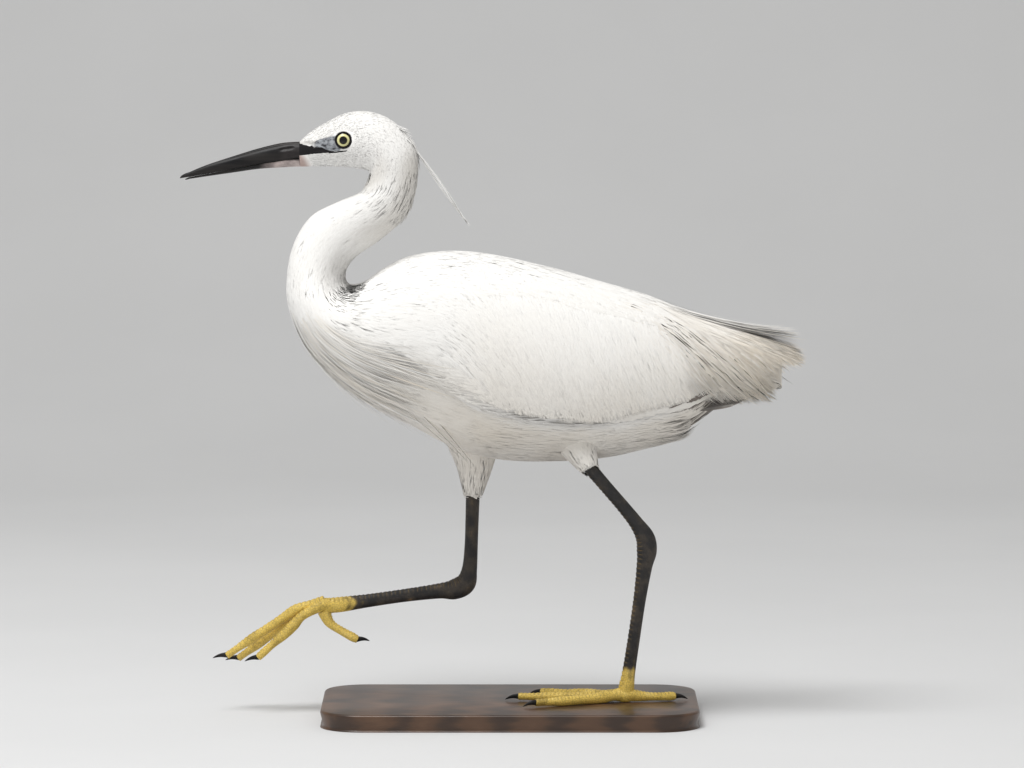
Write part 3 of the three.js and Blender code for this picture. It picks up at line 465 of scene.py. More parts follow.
def scatter(surface, count, t_range, phi_range, keep=None):
    """Roots spread evenly over a stretch of a surface, in sections and radians."""
    low, high = t_range
    found_t, found_p, sizes = [], [], []
    total = 0
    tries = np.linspace(low, high, 80)
    a = np.linspace(*phi_range, 24)
    for x in tries:
        p = surface(np.full(24, x), a)
        ahead = surface(np.full(24, x + 0.01), a)
        girth = np.linalg.norm(np.diff(p, axis=0), axis=-1)
        step = np.linalg.norm(ahead - p, axis=-1) / 0.01
        sizes.append((girth * (step[1:] + step[:-1]) / 2).sum())
    sizes = np.array(sizes)
    share = np.concatenate([[0], np.cumsum((sizes[1:] + sizes[:-1]) / 2)])
    while total < count:
        n = int((count - total) * 1.4) + 200
        t = np.interp(rng.random(n) * share[-1], share, tries)
        phi = rng.uniform(*phi_range, n)
        e = 0.02
        around = np.linalg.norm(surface(t, phi + e) - surface(t, phi - e), axis=-1)
        fore = np.linalg.norm(surface(t + e, phi) - surface(t - e, phi), axis=-1)
        patch = around * fore
        ok = rng.random(n) < patch / np.percentile(patch, 95)
        if keep is not None:
            ok &= keep(t, phi)
        found_t.append(t[ok])
        found_p.append(phi[ok])
        total += ok.sum()
    return np.concatenate(found_t)[:count], np.concatenate(found_p)[:count]


def coat(bundle, count, t_range, length, width, sway=0.0, steps=LOCK, profile=narrow, phi_range=(-np.pi, np.pi),
         keep=None, surface=body, uv=body_uv, height=0.4, lift=0.0, level=coat_out, depth=skin_depth, thick=0.3,
         wild=0.12, limit=LAST, marking=None):
    """A cover of feathers. length, width and sway may be functions of the section and angle."""
    t, phi = scatter(surface, count, t_range, phi_range, keep)

    def value(f):
        return f(t, phi) if callable(f) else np.full(count, float(f))

    size = value(length) * rng.uniform(0.8, 1.2, count)
    wide = value(width) * rng.uniform(0.8, 1.2, count)
    turn = value(sway) + rng.normal(0, wild, count)
    tt, pp = walk(surface, t, phi, size, turn, steps, limit)
    rough = rng.uniform(-height, height, count)
    over = level(tt, pp) + rough[:, None]
    under = (level(t, phi) - depth(t) - 0.5)[:, None]
    raise_ = ramp(steps, 0, 0.45)[None]
    out = under + (over - under) * raise_ + value(lift)[:, None] * steps[None] ** 2
    given = None if marking is None else marking(surface(t, phi), t, phi)
    grow(bundle, surface, tt, pp, out, wide, steps, profile, uv, thick, marking=given)


# Materials
class Nodes:
    """A material's node tree, written in few words."""

    def __init__(self, name):
        self.material = bpy.data.materials.new(name)
        self.material.use_nodes = True
        self.tree = self.material.node_tree
        self.shader = next(n for n in self.tree.nodes if n.type == "BSDF_PRINCIPLED")

    def node(self, kind, inputs=None, **settings):
        made = self.tree.nodes.new(kind)
        for key, value in settings.items():
            setattr(made, key, value)
        for key, value in (inputs or {}).items():
            self.put(made.inputs[key], value)
        return made

    def put(self, socket, value):
        if isinstance(value, bpy.types.NodeSocket):
            self.tree.links.new(value, socket)
        else:
            socket.default_value = value

    def math(self, operation, a, b=0.0, c=0.0):
        return self.node("ShaderNodeMath", {0: a, 1: b, 2: c}, operation=operation).outputs[0]

    def mix(self, share, a, b, blend="MIX"):
        made = self.node("ShaderNodeMix", data_type="RGBA", blend_type=blend)
        self.put(made.inputs[0], share)
        self.put(made.inputs[6], a)
        self.put(made.inputs[7], b)
        return made.outputs[2]

    def ramp(self, value, stops, smooth=True):
        made = self.node("ShaderNodeValToRGB", {0: value})
        made.color_ramp.interpolation = "EASE" if smooth else "LINEAR"
        made.color_ramp.elements[0].position, made.color_ramp.elements[0].color = stops[0][0], stops[0][1]
        made.color_ramp.elements[1].position, made.color_ramp.elements[1].color = stops[-1][0], stops[-1][1]
        for place, colour in stops[1:-1]:
            made.color_ramp.elements.new(place).color = colour
        return made.outputs[0]

    def layer(self, name):
        """A mesh's own colour layer, with its red, green and blue apart."""
        source = self.node("ShaderNodeAttribute", attribute_name=name)
        return source, self.node("ShaderNodeSeparateColor", {0: source.outputs["Color"]}).outputs

    def place(self, scale=(1, 1, 1)):
        where = self.node("ShaderNodeTexCoord").outputs["Object"]
        return self.node("ShaderNodeMapping", {"Vector": where, "Scale": scale}).outputs[0]

    def noise(self, scale, stretch=(1, 1, 1), detail=4.0):
        return self.node("ShaderNodeTexNoise", {"Vector": self.place(stretch), "Scale": scale, "Detail": detail}
                         ).outputs["Fac"]

    def bump(self, height, distance, strength=1.0):
        return self.node("ShaderNodeBump", {"Height": height, "Distance": distance, "Strength": strength}).outputs[0]

    def finish(self, **inputs):
        for key, value in inputs.items():
            self.put(self.shader.inputs[key.replace("_", " ")], value)
        return self.material


def rgb(r, g, b):
    return (r, g, b, 1.0)


WHITE, BUFF, SHADE = rgb(0.90, 0.892, 0.872), rgb(0.78, 0.68, 0.53), rgb(0.19, 0.165, 0.145)
LORE, BLACK_SKIN, PINK = rgb(0.36, 0.38, 0.40), rgb(0.014, 0.013, 0.014), rgb(0.50, 0.40, 0.37)


def plumage(name, strand=True):
    m = Nodes(name)
    mark, parts = m.layer("mark")
    cloud = m.noise(28.0, detail=5.0)
    streaks = m.noise(420.0, (0.25, 1, 1), 3.0)
    buff = m.math("MULTIPLY", parts[1], m.math("ADD", m.math("MULTIPLY", cloud, 1.3), 0.35))
    colour = m.mix(buff, WHITE, BUFF)
    colour = m.mix(m.math("MULTIPLY", parts[2], m.math("ADD", cloud, 0.3)), colour, SHADE)
    colour = m.mix(m.math("MULTIPLY", streaks, 0.08), colour, rgb(0.6, 0.58, 0.54), "MULTIPLY")
    if strand:
        own = m.layer("vane")[1]
        colour = m.mix(m.math("MULTIPLY", own[2], 0.10), colour, rgb(0.62, 0.58, 0.52), "MULTIPLY")
        slant = m.math("ADD", own[1], m.math("ABSOLUTE", own[0]))
        barbs = m.math("SINE", m.math("MULTIPLY", slant, 7.0))
        normal = m.bump(barbs, 0.00008, 0.3)
    else:
        mottle = m.noise(330.0, (1, 1, 1.6), 6.0)
        bare = m.ramp(mottle, [(0.36, rgb(0.05, 0.05, 0.055)), (0.47, rgb(0.22, 0.23, 0.25)), (0.62, LORE)])
        colour = m.mix(parts[0], colour, bare)
        own = m.layer("tint")[1]
        colour = m.mix(own[0], colour, m.mix(mottle, rgb(0.42, 0.31, 0.28), PINK))
        edge = m.math("ADD", mark.outputs["Alpha"], m.math("MULTIPLY", m.math("SUBTRACT", mottle, 0.5), 1.5))
        colour = m.mix(m.ramp(edge, [(0.40, rgb(0, 0, 0)), (0.62, rgb(1, 1, 1))]), colour, BLACK_SKIN)
        normal = m.bump(m.noise(900.0), 0.0002, 0.3)
    sheen, shine = (0.25, 0.4) if strand else (0.0, 0.15)
    return m.finish(Base_Color=colour, Roughness=0.82, Normal=normal, Sheen_Weight=sheen, Sheen_Roughness=0.5,
                    Specular_IOR_Level=shine)


def horn(name):
    m = Nodes(name)
    grain = m.noise(260.0, (0.06, 1, 1), 6.0)
    parts = m.layer("mark")[1]
    colour = m.ramp(grain, [(0.3, rgb(0.004, 0.004, 0.005)), (0.7, rgb(0.020, 0.018, 0.017))])
    colour = m.mix(parts[0], colour, m.ramp(m.noise(190.0), [(0.3, rgb(0.30, 0.25, 0.24)),
                                                                      (0.7, rgb(0.52, 0.44, 0.42))]))
    return m.finish(Base_Color=colour, Roughness=m.math("ADD", m.math("MULTIPLY", grain, 0.3), 0.28),
                    Normal=m.bump(grain, 0.0004, 0.7), Specular_IOR_Level=0.22)


def scales(name):
    m = Nodes(name)
    parts = m.layer("mark")[1]
    cells = m.node("ShaderNodeTexVoronoi", {"Vector": m.place(), "Scale": 620.0}, feature="DISTANCE_TO_EDGE")
    edge = m.ramp(cells.outputs["Distance"], [(0.0, rgb(0, 0, 0)), (0.12, rgb(1, 1, 1))])
    worn = m.noise(95.0, detail=6.0)
    black = m.ramp(worn, [(0.42, rgb(0.012, 0.011, 0.011)), (0.62, rgb(0.045, 0.035, 0.026)),
                          (0.78, rgb(0.2, 0.13, 0.06))])
    ochre = m.ramp(worn, [(0.25, rgb(0.44, 0.31, 0.06)), (0.55, rgb(0.76, 0.54, 0.11)), (0.8, rgb(0.82, 0.64, 0.22))])
    colour = m.mix(parts[1], black, ochre)
    colour = m.mix(m.math("MULTIPLY", parts[2], 0.5), colour, rgb(0.20, 0.13, 0.04))
    colour = m.mix(0.35, colour, edge, "MULTIPLY")
    return m.finish(Base_Color=colour, Roughness=0.48, Normal=m.bump(edge, 0.00025, 0.6))


def eye_material():
    m = Nodes("eye_gloss")
    where = m.node("ShaderNodeTexCoord").outputs["Object"]
    apart = m.node("ShaderNodeVectorMath", {0: where, 1: (EYE["x"] * MM, 0, EYE["z"] * MM)}, operation="SUBTRACT")
    flat = m.node("ShaderNodeVectorMath", {0: apart.outputs[0], 1: (1, 0, 1)}, operation="MULTIPLY")
    far = m.math("DIVIDE", m.node("ShaderNodeVectorMath", {0: flat.outputs[0]}, operation="LENGTH").outputs["Value"],
                 EYE["radius"] * MM)
    pupil, iris = EYE["pupil"] / EYE["radius"], EYE["iris"] / EYE["radius"]
    dark, ring = rgb(0.004, 0.004, 0.004), rgb(0.60, 0.56, 0.24)
    colour = m.ramp(far, [(0, dark), (pupil, dark), (pupil + 0.02, ring), (0.55, rgb(0.84, 0.82, 0.46)),
                          (iris - 0.03, rgb(0.76, 0.73, 0.38)), (iris, dark), (1, dark)], smooth=False)
    rays = m.noise(1500.0, detail=6.0)
    colour = m.mix(m.math("MULTIPLY", rays, 0.3), colour, rgb(0.5, 0.42, 0.2), "MULTIPLY")
    return m.finish(Base_Color=colour, Roughness=0.15, Coat_Weight=0.3, Coat_Roughness=0.02, Specular_IOR_Level=0.25)


def wood_material():
    m = Nodes("stained_wood")
    grain = m.noise(34.0, (0.12, 1, 1), 8.0)
    rings = m.node("ShaderNodeTexWave", {"Vector": m.place((0.15, 1, 1)), "Scale": 55.0, "Distortion": 6.0,
                                         "Detail": 4.0}).outputs["Fac"]
    both = m.math("ADD", m.math("MULTIPLY", grain, 0.6), m.math("MULTIPLY", rings, 0.3))
    colour = m.ramp(both, [(0.25, rgb(0.035, 0.018, 0.010)), (0.55, rgb(0.085, 0.042, 0.021)),
                           (0.8, rgb(0.15, 0.078, 0.040))])
    return m.finish(Base_Color=colour, Roughness=0.38, Normal=m.bump(both, 0.0002, 0.4), Coat_Weight=0.12)


def floor_material():
    m = Nodes("floor_paper")
    soft = m.ramp(m.noise(3.0), [(0.3, rgb(0.70, 0.705, 0.71)), (0.7, rgb(0.72, 0.725, 0.73))])
    return m.finish(Base_Color=soft, Roughness=0.9)


# The model
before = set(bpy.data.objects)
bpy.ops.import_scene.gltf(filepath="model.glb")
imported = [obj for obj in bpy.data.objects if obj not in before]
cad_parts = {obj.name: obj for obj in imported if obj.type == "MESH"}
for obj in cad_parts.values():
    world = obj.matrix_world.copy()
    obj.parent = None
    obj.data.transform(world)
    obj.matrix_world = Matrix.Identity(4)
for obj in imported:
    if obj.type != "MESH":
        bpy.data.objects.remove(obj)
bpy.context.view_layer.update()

skin_finish = plumage("plumage_skin", strand=False)
feather_finish = plumage("plumage_feathers")
horn_finish = horn("bill_horn")
scale_finish = scales("leg_scales")


# Skin
def head_relief(points):
    """The socket, the swell round the lids and the hollow before the eye."""
    x, y, z = points[..., 0], points[..., 1], points[..., 2]
    far = eye_distance(x, z)
    side = ramp(np.abs(y), 6, 9) * (x > 100)
    push = -5.5 * (1 - ramp(far, 4.7, 5.6)) + 0.35 * np.exp(-((far - 7.0) / 1.2) ** 2)
    push = push - 0.35 * lore_mask(x, z) * ramp(far, 6, 9)
    push = push - 0.7 * gape_mask(x, z, 0.5)
    points[..., 1] += np.sign(y) * push * side
    return points


def skin_level(t, phi):
    return coat_out(t, phi) - skin_depth(t)


def bare_part(t, phi):
    p = body(t, phi)
    x, z = p[..., 0], p[..., 2]
    return np.max([lore_mask(x, z), gape_mask(x, z, 0.8), black_mask(x, z), pink_mask(x, z)], axis=0) * (t < 4.4)


skin = Bundle()
rows = np.concatenate([np.arange(0, 4.5, 0.03), np.arange(4.5, 8, 0.07), np.arange(8, 26.2, 0.1)])
T, A = lattice(rows, circle(240))
level = skin_level(T, A)
grid = head_relief(body(T, A, level + skin_depth(T) * bare_part(T, A)))
place = body(T, A)
tint = np.zeros(T.shape + (4,))
tint[..., 0] = pink_mask(place[..., 0], place[..., 2]) * (T < 3)
skin.loft(grid[:, ::-1], mark=marks(place, T, A)[:, ::-1], tint=tint[:, ::-1])
for name, side in SIDES.items():
    surface = limb_surface(LEG[name]["thigh"])
    T, A = lattice(np.linspace(0, 3, 40), circle(48))
    tone = np.zeros(T.shape + (4,))
    # The thigh skin carries a painted shade, like the belly above it.
    tone[..., 2] = 0.12
    skin.loft(surface(T, A, -1.4)[:, ::-1], mark=tone, tint=np.zeros_like(tone))
    turn = circle(72)
    dx, dz = np.cos(turn), np.sin(turn)
    ring = []
    for k in range(14):
        a = 2 * np.pi * k / 14
        reach = 5.45 + 0.62 * np.cos(a)
        plane = np.maximum(14.15 - 0.128 * dx * 5.4 - 0.115 * dz * 5.4, 13.65)
        ring.append(np.stack([EYE["x"] + dx * reach, side * (plane + 0.55 * np.sin(a)), EYE["z"] + dz * reach], -1))
    ring = np.stack(ring)
    tone = np.zeros(ring.shape[:-1] + (4,))
    tone[..., 3] = 1
    quads = sheet_faces(15, 72) % (14 * 72)
    skin.add(ring.reshape(-1, 3), quads, np.zeros((0, 3), int), mark=tone.reshape(-1, 4),
             tint=np.zeros_like(tone).reshape(-1, 4))
skin_piece = skin.make("skin", skin_finish)
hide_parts("head", "neck_upper", "neck_middle", "neck_lower", "torso", "wing_left", "wing_right", "tail",
            "thigh_left", "thigh_right")


# Coats
def feather_piece(bundle, name):
    piece = bundle.make(name, feather_finish)
    return piece


def face_free(t, phi):
    p = body(t, phi)
    far = eye_distance(p[..., 0], p[..., 2])
    return (bare_part(t, phi) < 0.25) & (far > 7.2)


def head_length(t, phi):
    p = body(t, phi)
    near = np.minimum(eye_distance(p[..., 0], p[..., 2]) - 6, 14) / 14
    return np.interp(t, [0, 1, 3, 5, 7.5], [2.0, 2.6, 4.2, 6.5, 9.0]) * (0.45 + 0.55 * np.clip(near, 0, 1))


head = Bundle()
coat(head, TUFTS["head"], (0.15, 7.6), head_length, by_section([0, 3, 7], [0.7, 0.9, 1.2]), keep=face_free,
     steps=STRAND, height=0.05, thick=0.08, wild=0.08, sway=0.12)
feather_piece(head, "coat_head")

neck = Bundle()
coat(neck, TUFTS["neck"], (7.0, 14.4), by_section([7, 14], [14, 22]),
     by_section([7, 14], [1.2, 1.7]), height=0.07, thick=0.08, wild=0.05, sway=0.04)
feather_piece(neck, "coat_neck")

breast = Bundle()
coat(breast, TUFTS["breast"], (13.4, 18.2), 24, 1.8, height=0.16, thick=0.12, sway=0.0, wild=0.07,
     keep=lambda t, p: (np.abs(p) > wing_edge(t) - 0.1) | (t < 17))
feather_piece(breast, "coat_breast")

back = Bundle()
coat(back, TUFTS["back"], (15.0, 24.6), by_section([15, 24], [24, 34]), 2.0, height=0.16, thick=0.12,
     sway=0.12, wild=0.06, keep=lambda t, p: np.abs(p) < wing_top(t) + 0.3)
feather_piece(back, "coat_back")

belly = Bundle()
coat(belly, TUFTS["belly"], (17.0, 23.1),
     lambda t, p: np.clip((23.3 - t) * 24 + rng.uniform(-2, 9, len(t)), 8, 28), 1.9,
     height=0.25, thick=0.14, sway=0.0, wild=0.09,
     keep=lambda t, p: np.abs(p) - wing_edge(t) > np.where(t > 20.6, tail_depth(t + 0.8), 0.03),
     lift=lambda t, p: rng.uniform(0.1, 1, len(t)) * 7.0 * ramp(t, 21.4, 22.8) * ramp(np.abs(p), 2.2, 2.7))
feather_piece(belly, "coat_belly")

# Wings: rows of broad feathers down to the lower edge, and the fine barbs that veil them
SECONDARIES = ([[17.3, 80], [18.4, 94], [19.8, 100], [21.4, 100], [22.9, 96]],
               [[18.1, 111], [19.4, 121], [21.2, 126], [23.4, 119], [25.6, 128]])
GREATER = ([[17.3, 62], [18.8, 74], [20.4, 78], [22.0, 78], [23.0, 78]],
           [[18.2, 92], [19.6, 106], [21.4, 108], [23.2, 103], [24.9, 108]])
MEDIAN = ([[17.6, 50], [18.8, 52], [20.2, 52], [21.8, 54], [22.8, 58]],
          [[18.2, 76], [19.6, 84], [21.2, 87], [22.9, 84], [24.4, 86]])
ALULA = ([[17.5, 105], [17.62, 108]], [[18.35, 118.2], [18.62, 122]])
WING_LIE = [[16.8, 17.6, 18.6, 20, 22, 23.5, 25], [0.25, 0.55, 0.95, 1.2, 1.1, 0.8, 0.5]]


def along_line(places, s):
    return through(np.array(places, float), s * (len(places) - 1)).T


def row_of(bundle, line, count, width, level, side, spread=0.03):
    """A row of feathers whose roots and tips run evenly between two lines of places."""
    s = np.linspace(0, 1, count)
    (t0, a0), (t1, a1) = along_line(line[0], s), along_line(line[1], s)
    t1 = t1 + rng.normal(0, spread, count)
    a1 = a1 + rng.normal(0, 14 * spread, count)
    tt = t0[:, None] + (t1 - t0)[:, None] * VANE
    pp = side * np.radians(a0[:, None] + (a1 - a0)[:, None] * VANE)
    over = level + (np.arange(count) % 2 * 0.3 + rng.uniform(-0.1, 0.1, count))[:, None]
    out = -6 + (over + 6) * ramp(VANE, 0, 0.3)[None]
    wide = width * rng.uniform(0.9, 1.1, count)
    grow(bundle, body, tt, pp, out, wide, VANE, rounded, body_uv, 0.5, columns=5)


def wing_reach(t, p):
    """Barbs end at or before the wing's lower edge."""
    room = (wing_edge(t) - np.abs(p)) * 46 / np.sin(np.interp(t, *WING_LIE))
    return np.clip(np.minimum(np.interp(t, [17, 19, 23], [20, 34, 38]), room), 5, 40)


def wing_marks(points, t, phi):
    """The shared markings, with some barbs a little darker so that they show as streaks."""
    out = marks(points, t, phi)
    share = wing_share(t, np.abs(phi))
    out[..., 2] += rng.random(len(t)) ** 3 * 0.14 * ramp(share, 0.2, 0.7)
    return out


for name, side in SIDES.items():
    wing = Bundle()
    row_of(wing, SECONDARIES, 34, 17, -4.0, side)
    row_of(wing, SECONDARIES, 30, 13, -3.5, side, spread=0.05)
    row_of(wing, GREATER, 40, 14, -3.2, side)
    row_of(wing, MEDIAN, 40, 13, -2.4, side)
    row_of(wing, ALULA, 2, 4.5, -3.4, side, spread=0)
    span = (0, np.pi) if side > 0 else (-np.pi, 0)
    coat(wing, TUFTS["wing"], (16.7, 24.6), wing_reach, by_section([16.6, 23], [1.7, 2.0]),
         sway=by_section(*WING_LIE), height=0.14, thick=0.12, phi_range=span, wild=0.05,
         keep=lambda t, p: (np.abs(p) > wing_top(t) - 0.25) & (np.abs(p) < wing_edge(t) - 0.1), marking=wing_marks)
    feather_piece(wing, "feathers_wing_" + name)

# Long separate plumes from the shoulders and the back, to their ragged ends
PLUME_ROOTS = [[18.7, 36], [19.4, 30], [20.0, 26], [20.6, 22], [21.2, 16], [21.8, 10], [22.4, 5]]
PLUME_ENDS = [[-122, 226], [-132, 223.5], [-143, 221], [-157, 219.5], [-170, 220.5], [-184, 221.5], [-187.5, 231],
              [-192, 244], [-205, 249.5], [-203, 257], [-200, 266], [-201, 273], [-176, 275]]


def place_of(x, z):
    """Section, angle in degrees and distance out of a point behind the thighs, seen from the side."""
    t = np.interp(-x, -(SECTIONS[20:, 0] + SECTIONS[20:, 2]) / 2, np.arange(20, len(SECTIONS)))
    back, front = through(SECTIONS, t)[..., 1], through(SECTIONS, t)[..., 3]
    share = (z - (back + front) / 2) / ((back - front) / 2)
    beyond = np.maximum(np.abs(share) - 0.9995, 0) * (back - front) / 2
    return t, np.degrees(np.arccos(np.clip(share, -0.9995, 0.9995))), beyond


def plume_level(tt, pp, level):
    """Plumes lie on the wing's veil and stand clear of it only towards their ends."""
    free = ramp(tt, 22.4, 24.2)
    return coat_out(tt, pp) * (1 - free) + level[:, None] * (0.35 + 0.65 * free)


plumes = Bundle()
for side in SIDES.values():
    for level, count, width in ((-1.7, 300, 2.4), (-1.0, 360, 1.6), (-0.5, 330, 1.1), (-0.1, 190, 0.7)):
        s = np.where(rng.random(count) < 0.35, rng.uniform(0.04, 0.98, count), rng.uniform(0.25, 0.78, count))
        t0, a0 = along_line(PLUME_ROOTS, np.clip(s + rng.normal(0, 0.07, count), 0, 1))
        x1, z1 = along_line(PLUME_ENDS, s)
        short = rng.random(count) ** 2.5 * 30
        stray = np.where(rng.random(count) < 0.05, np.abs(rng.normal(0, 5, count)), 0)
        high = ramp(s, 0.55, 0.75)
        t1, a1, beyond = place_of(x1 + short - stray + rng.normal(0, 1.5, count),
                                  z1 + 0.35 * short * (1 - high) + rng.normal(0, 1.3, count) + stray * high)
        t0, a0 = t0 + rng.normal(0, 0.35, count), a0 + rng.normal(0, 4, count)
        tt = t0[:, None] + (t1 - t0)[:, None] * (1 - (1 - LONG) ** 1.25)
        bow = rng.normal(0, 3, count)[:, None] * np.sin(np.pi * LONG)
        fall = 1.25 + 0.9 * (1 - high)[:, None]
        pp = side * np.radians(a0[:, None] + (a1 - a0)[:, None] * LONG ** fall + bow)
        over = plume_level(tt, pp, level + rng.uniform(-0.3, 0.3, count)) + beyond[:, None] * LONG ** 1.8
        over = over + rng.uniform(-0.5, 0.5, count)[:, None] * LONG ** 3
        out = -4 + (over + 4) * ramp(LONG, 0, 0.18)[None]
        tone = marks(body(t0, side * np.radians(a0)), t0, side * np.radians(a0))
        creamy = 0.5 * ramp(s, 0.1, 0.4) * (1 - ramp(s, 0.72, 0.95))
        tone[:, 1] = np.clip(rng.normal(0.22, 0.10, count) + creamy, 0, 1)
        tone[:, 2] = 0
        grow(plumes, body, tt, pp, out, width * rng.uniform(0.7, 1.3, count), LONG, strap, body_uv, 0.1, marking=tone,
             fade=0.2 + 0.8 * LONG ** 1.5, skyward=high)
coat(plumes, TUFTS["rear"], (21.8, 25.0), 38, 2.6, steps=LOCK, profile=strap, height=1.2, lift=0.0, sway=0.35,
     thick=0.12,
     level=lambda t, p: coat_out(t, p) - 2.2, keep=lambda t, p: np.abs(p) < wing_edge(t) - 0.05, limit=26.1,
     marking=lambda q, t, p: np.tile([0, 0.45, 0.04, 0], (len(q), 1)))
feather_piece(plumes, "plumes_back")

# Breast plumes: narrow and hanging, some loose below the breast
chest = Bundle()
count = TUFTS["chest"]
t0 = rng.uniform(13.8, 15.6, count)
phi0 = rng.uniform(1.75, 2 * np.pi - 1.75, count)
length = rng.uniform(40, 96, count)
tt, pp = walk(body, t0, phi0, length, rng.normal(-0.05, 0.05, count), LONG, 19.5)
over = rng.uniform(0.0, 0.5, count)[:, None] + (rng.random(count) ** 6 * 8)[:, None] * LONG[None] ** 2
out = -3 + (over + 3) * ramp(LONG, 0, 0.2)[None]
tone = marks(body(t0, phi0), t0, phi0)
tone[:, 1] = np.clip(rng.normal(0.30, 0.14, count), 0, 1)
tone[:, 2] = 0
grow(chest, body, tt, pp, out, rng.uniform(0.7, 1.6, count), LONG, strap, body_uv, 0.1, marking=tone,
     fade=0.5 + 0.5 * LONG)
HANGING = (((61, 33, 223), (25, 21, 179)), ((66, 31, 220), (29, 22, 181)), ((70, 28, 216), (34, 19, 184)))

# Thighs
def thigh_level(t, phi):
    return np.zeros(np.shape(t))


for name, side in SIDES.items():
    leg = Bundle()
    surface = limb_surface(LEG[name]["thigh"])
    # The thigh coat carries buff and a painted shade so that it matches the belly's shaded underside.
    coat(leg, TUFTS["thigh"], (0.0, 2.9), by_section([0, 3], [18, 10]),
         by_section([0, 3], [1.8, 1.1]), surface=surface, uv=limb_uv(side), level=thigh_level,
         depth=lambda t: np.full(np.shape(t), 1.4), height=0.1, thick=0.12, limit=3.3, wild=0.1,
         marking=lambda q, t, p: np.tile([0, 0.30, 0.16, 0], (len(q), 1)))
    feather_piece(leg, "coat_thigh_" + name)


# Feathers along lines in the air
def line_surface(points_from, points_to):
    """A surface along straight lines: t runs along each, out lifts it."""
    start, end = np.asarray(points_from, float), np.asarray(points_to, float)
    along = unit(end - start)
    lift = unit(np.cross(np.cross(along, [0, 0, 1.0]), along))

    def surface(t, phi, out=0.0):
        t = np.asarray(t, float)
        shape = (len(start),) + (1,) * (t.ndim - 1) + (3,)
        out = np.broadcast_to(out, t.shape)
        way, rise = (end - start).reshape(shape), lift.reshape(shape)
        return start.reshape(shape) + way * t[..., None] + rise * out[..., None]

    return surface


def free_feathers(bundle, starts, ends, width, thick, sag=0.0, tone=(0, 0.2, 0, 0), steps=LONG,
                  profile=strap, columns=3, camber=1.0, skyward=0.0):
    n = len(starts)
    surface = line_surface(starts, ends)
    tt = np.tile(steps, (n, 1))
    out = np.broadcast_to(np.asarray(sag, float).reshape(-1, 1), (n, 1)) * np.sin(np.pi * steps)[None]

    def place(t, phi):
        return np.column_stack([np.full(n, 0.985), 0.6 + 0.15 * np.arange(n) / n])

    grow(bundle, surface, tt, np.zeros_like(tt), out, np.full(n, float(width)) * rng.uniform(0.9, 1.1, n), steps,
         profile, place, thick, columns=columns, marking=np.tile(tone, (n, 1)).astype(float), camber=camber,
         skyward=np.full(n, skyward))


for side in SIDES.values():
    for start, end in HANGING:
        turned = np.array([1, side, 1])
        free_feathers(chest, [np.array(start) * turned], [np.array(end) * turned], 1.1, 0.3, 0.8, tone=(0, 0.4, 0, 0))
feather_piece(chest, "plumes_breast")

nape = Bundle()
root = body(np.array([6.7]), np.array([0.0]), -2.0)[0]
for tip, bow in (((32.8, 3.0, 350.0), 1.5), ((28.6, -3.0, 345.4), -1.0)):
    tip = np.array(tip)
    start = root + [0, tip[1] / 2, 0]
    free_feathers(nape, [start], [tip], 1.8, 0.9, bow, tone=(0, 0, 0, 0), skyward=1.0)
    along = np.linspace(0.04, 0.93, 90)
    way = tip - start
    lift = unit(np.cross(np.cross(way, [0, 0, 1.0]), way))
    stem = start + way * along[:, None] + lift * (0.45 + bow * np.sin(np.pi * along))[:, None]
    for turn in (1, -1):
        barb = unit(way) * 5.5 + lift * turn * 0.55 + rng.normal(0, 0.12, (90, 3))
        free_feathers(nape, stem, stem + barb, 0.6, 0.25, steps=STRAND, tone=(0, 0, 0, 0), skyward=1.0)
for count, t_range, length, lift in ((46, (5.9, 7.3), (8, 16), (0.8, 1.8)), (22, (5.45, 5.95), (6, 10), (1.6, 3.4)),
                                     (40, (8.8, 9.8), (10, 16), (0.4, 1.9))):
    t0, phi0 = rng.uniform(*t_range, count), rng.normal(0, 0.3, count)
    tt, pp = walk(body, t0, phi0, rng.uniform(*length, count), rng.normal(0, 0.15, count), LOCK)
    out = -1 + (1 + rng.uniform(*lift, count)[:, None]) * LOCK[None]
    grow(nape, body, tt, pp, out, rng.uniform(0.7, 1.2, count), LOCK, narrow, body_uv, 0.2)
feather_piece(nape, "plumes_nape")

tail = Bundle()
# Tail feathers in dark grey: their own colour with a painted shadow of the underside.
for side in SIDES.values():
    for i in range(10):
        drop = 0.75 * i + 0.4 * (side < 0)
        start = [-130, side * (1.0 + 0.9 * i), 223.5 - drop]
        end = [-170 + 1.6 * i, side * (1.6 + 1.5 * i), 226.0 - 0.8 * drop]
        free_feathers(tail, [start], [end], 8, 0.7, columns=5, steps=VANE, profile=rounded,
                      tone=(0, 0.05, rng.uniform(1.0, 1.6), 0), camber=3.0)
coat(tail, TUFTS["tail"], (21.2, 24.6), by_section([21.2, 24.6], [20, 30]), 1.6, height=0.4, thick=0.14, wild=0.08,
     limit=25.6, keep=lambda t, p: (np.abs(p) > wing_edge(t) + 0.02)
     & (np.abs(p) - wing_edge(t) < tail_depth(t) + 0.1))
feather_piece(tail, "feathers_tail")


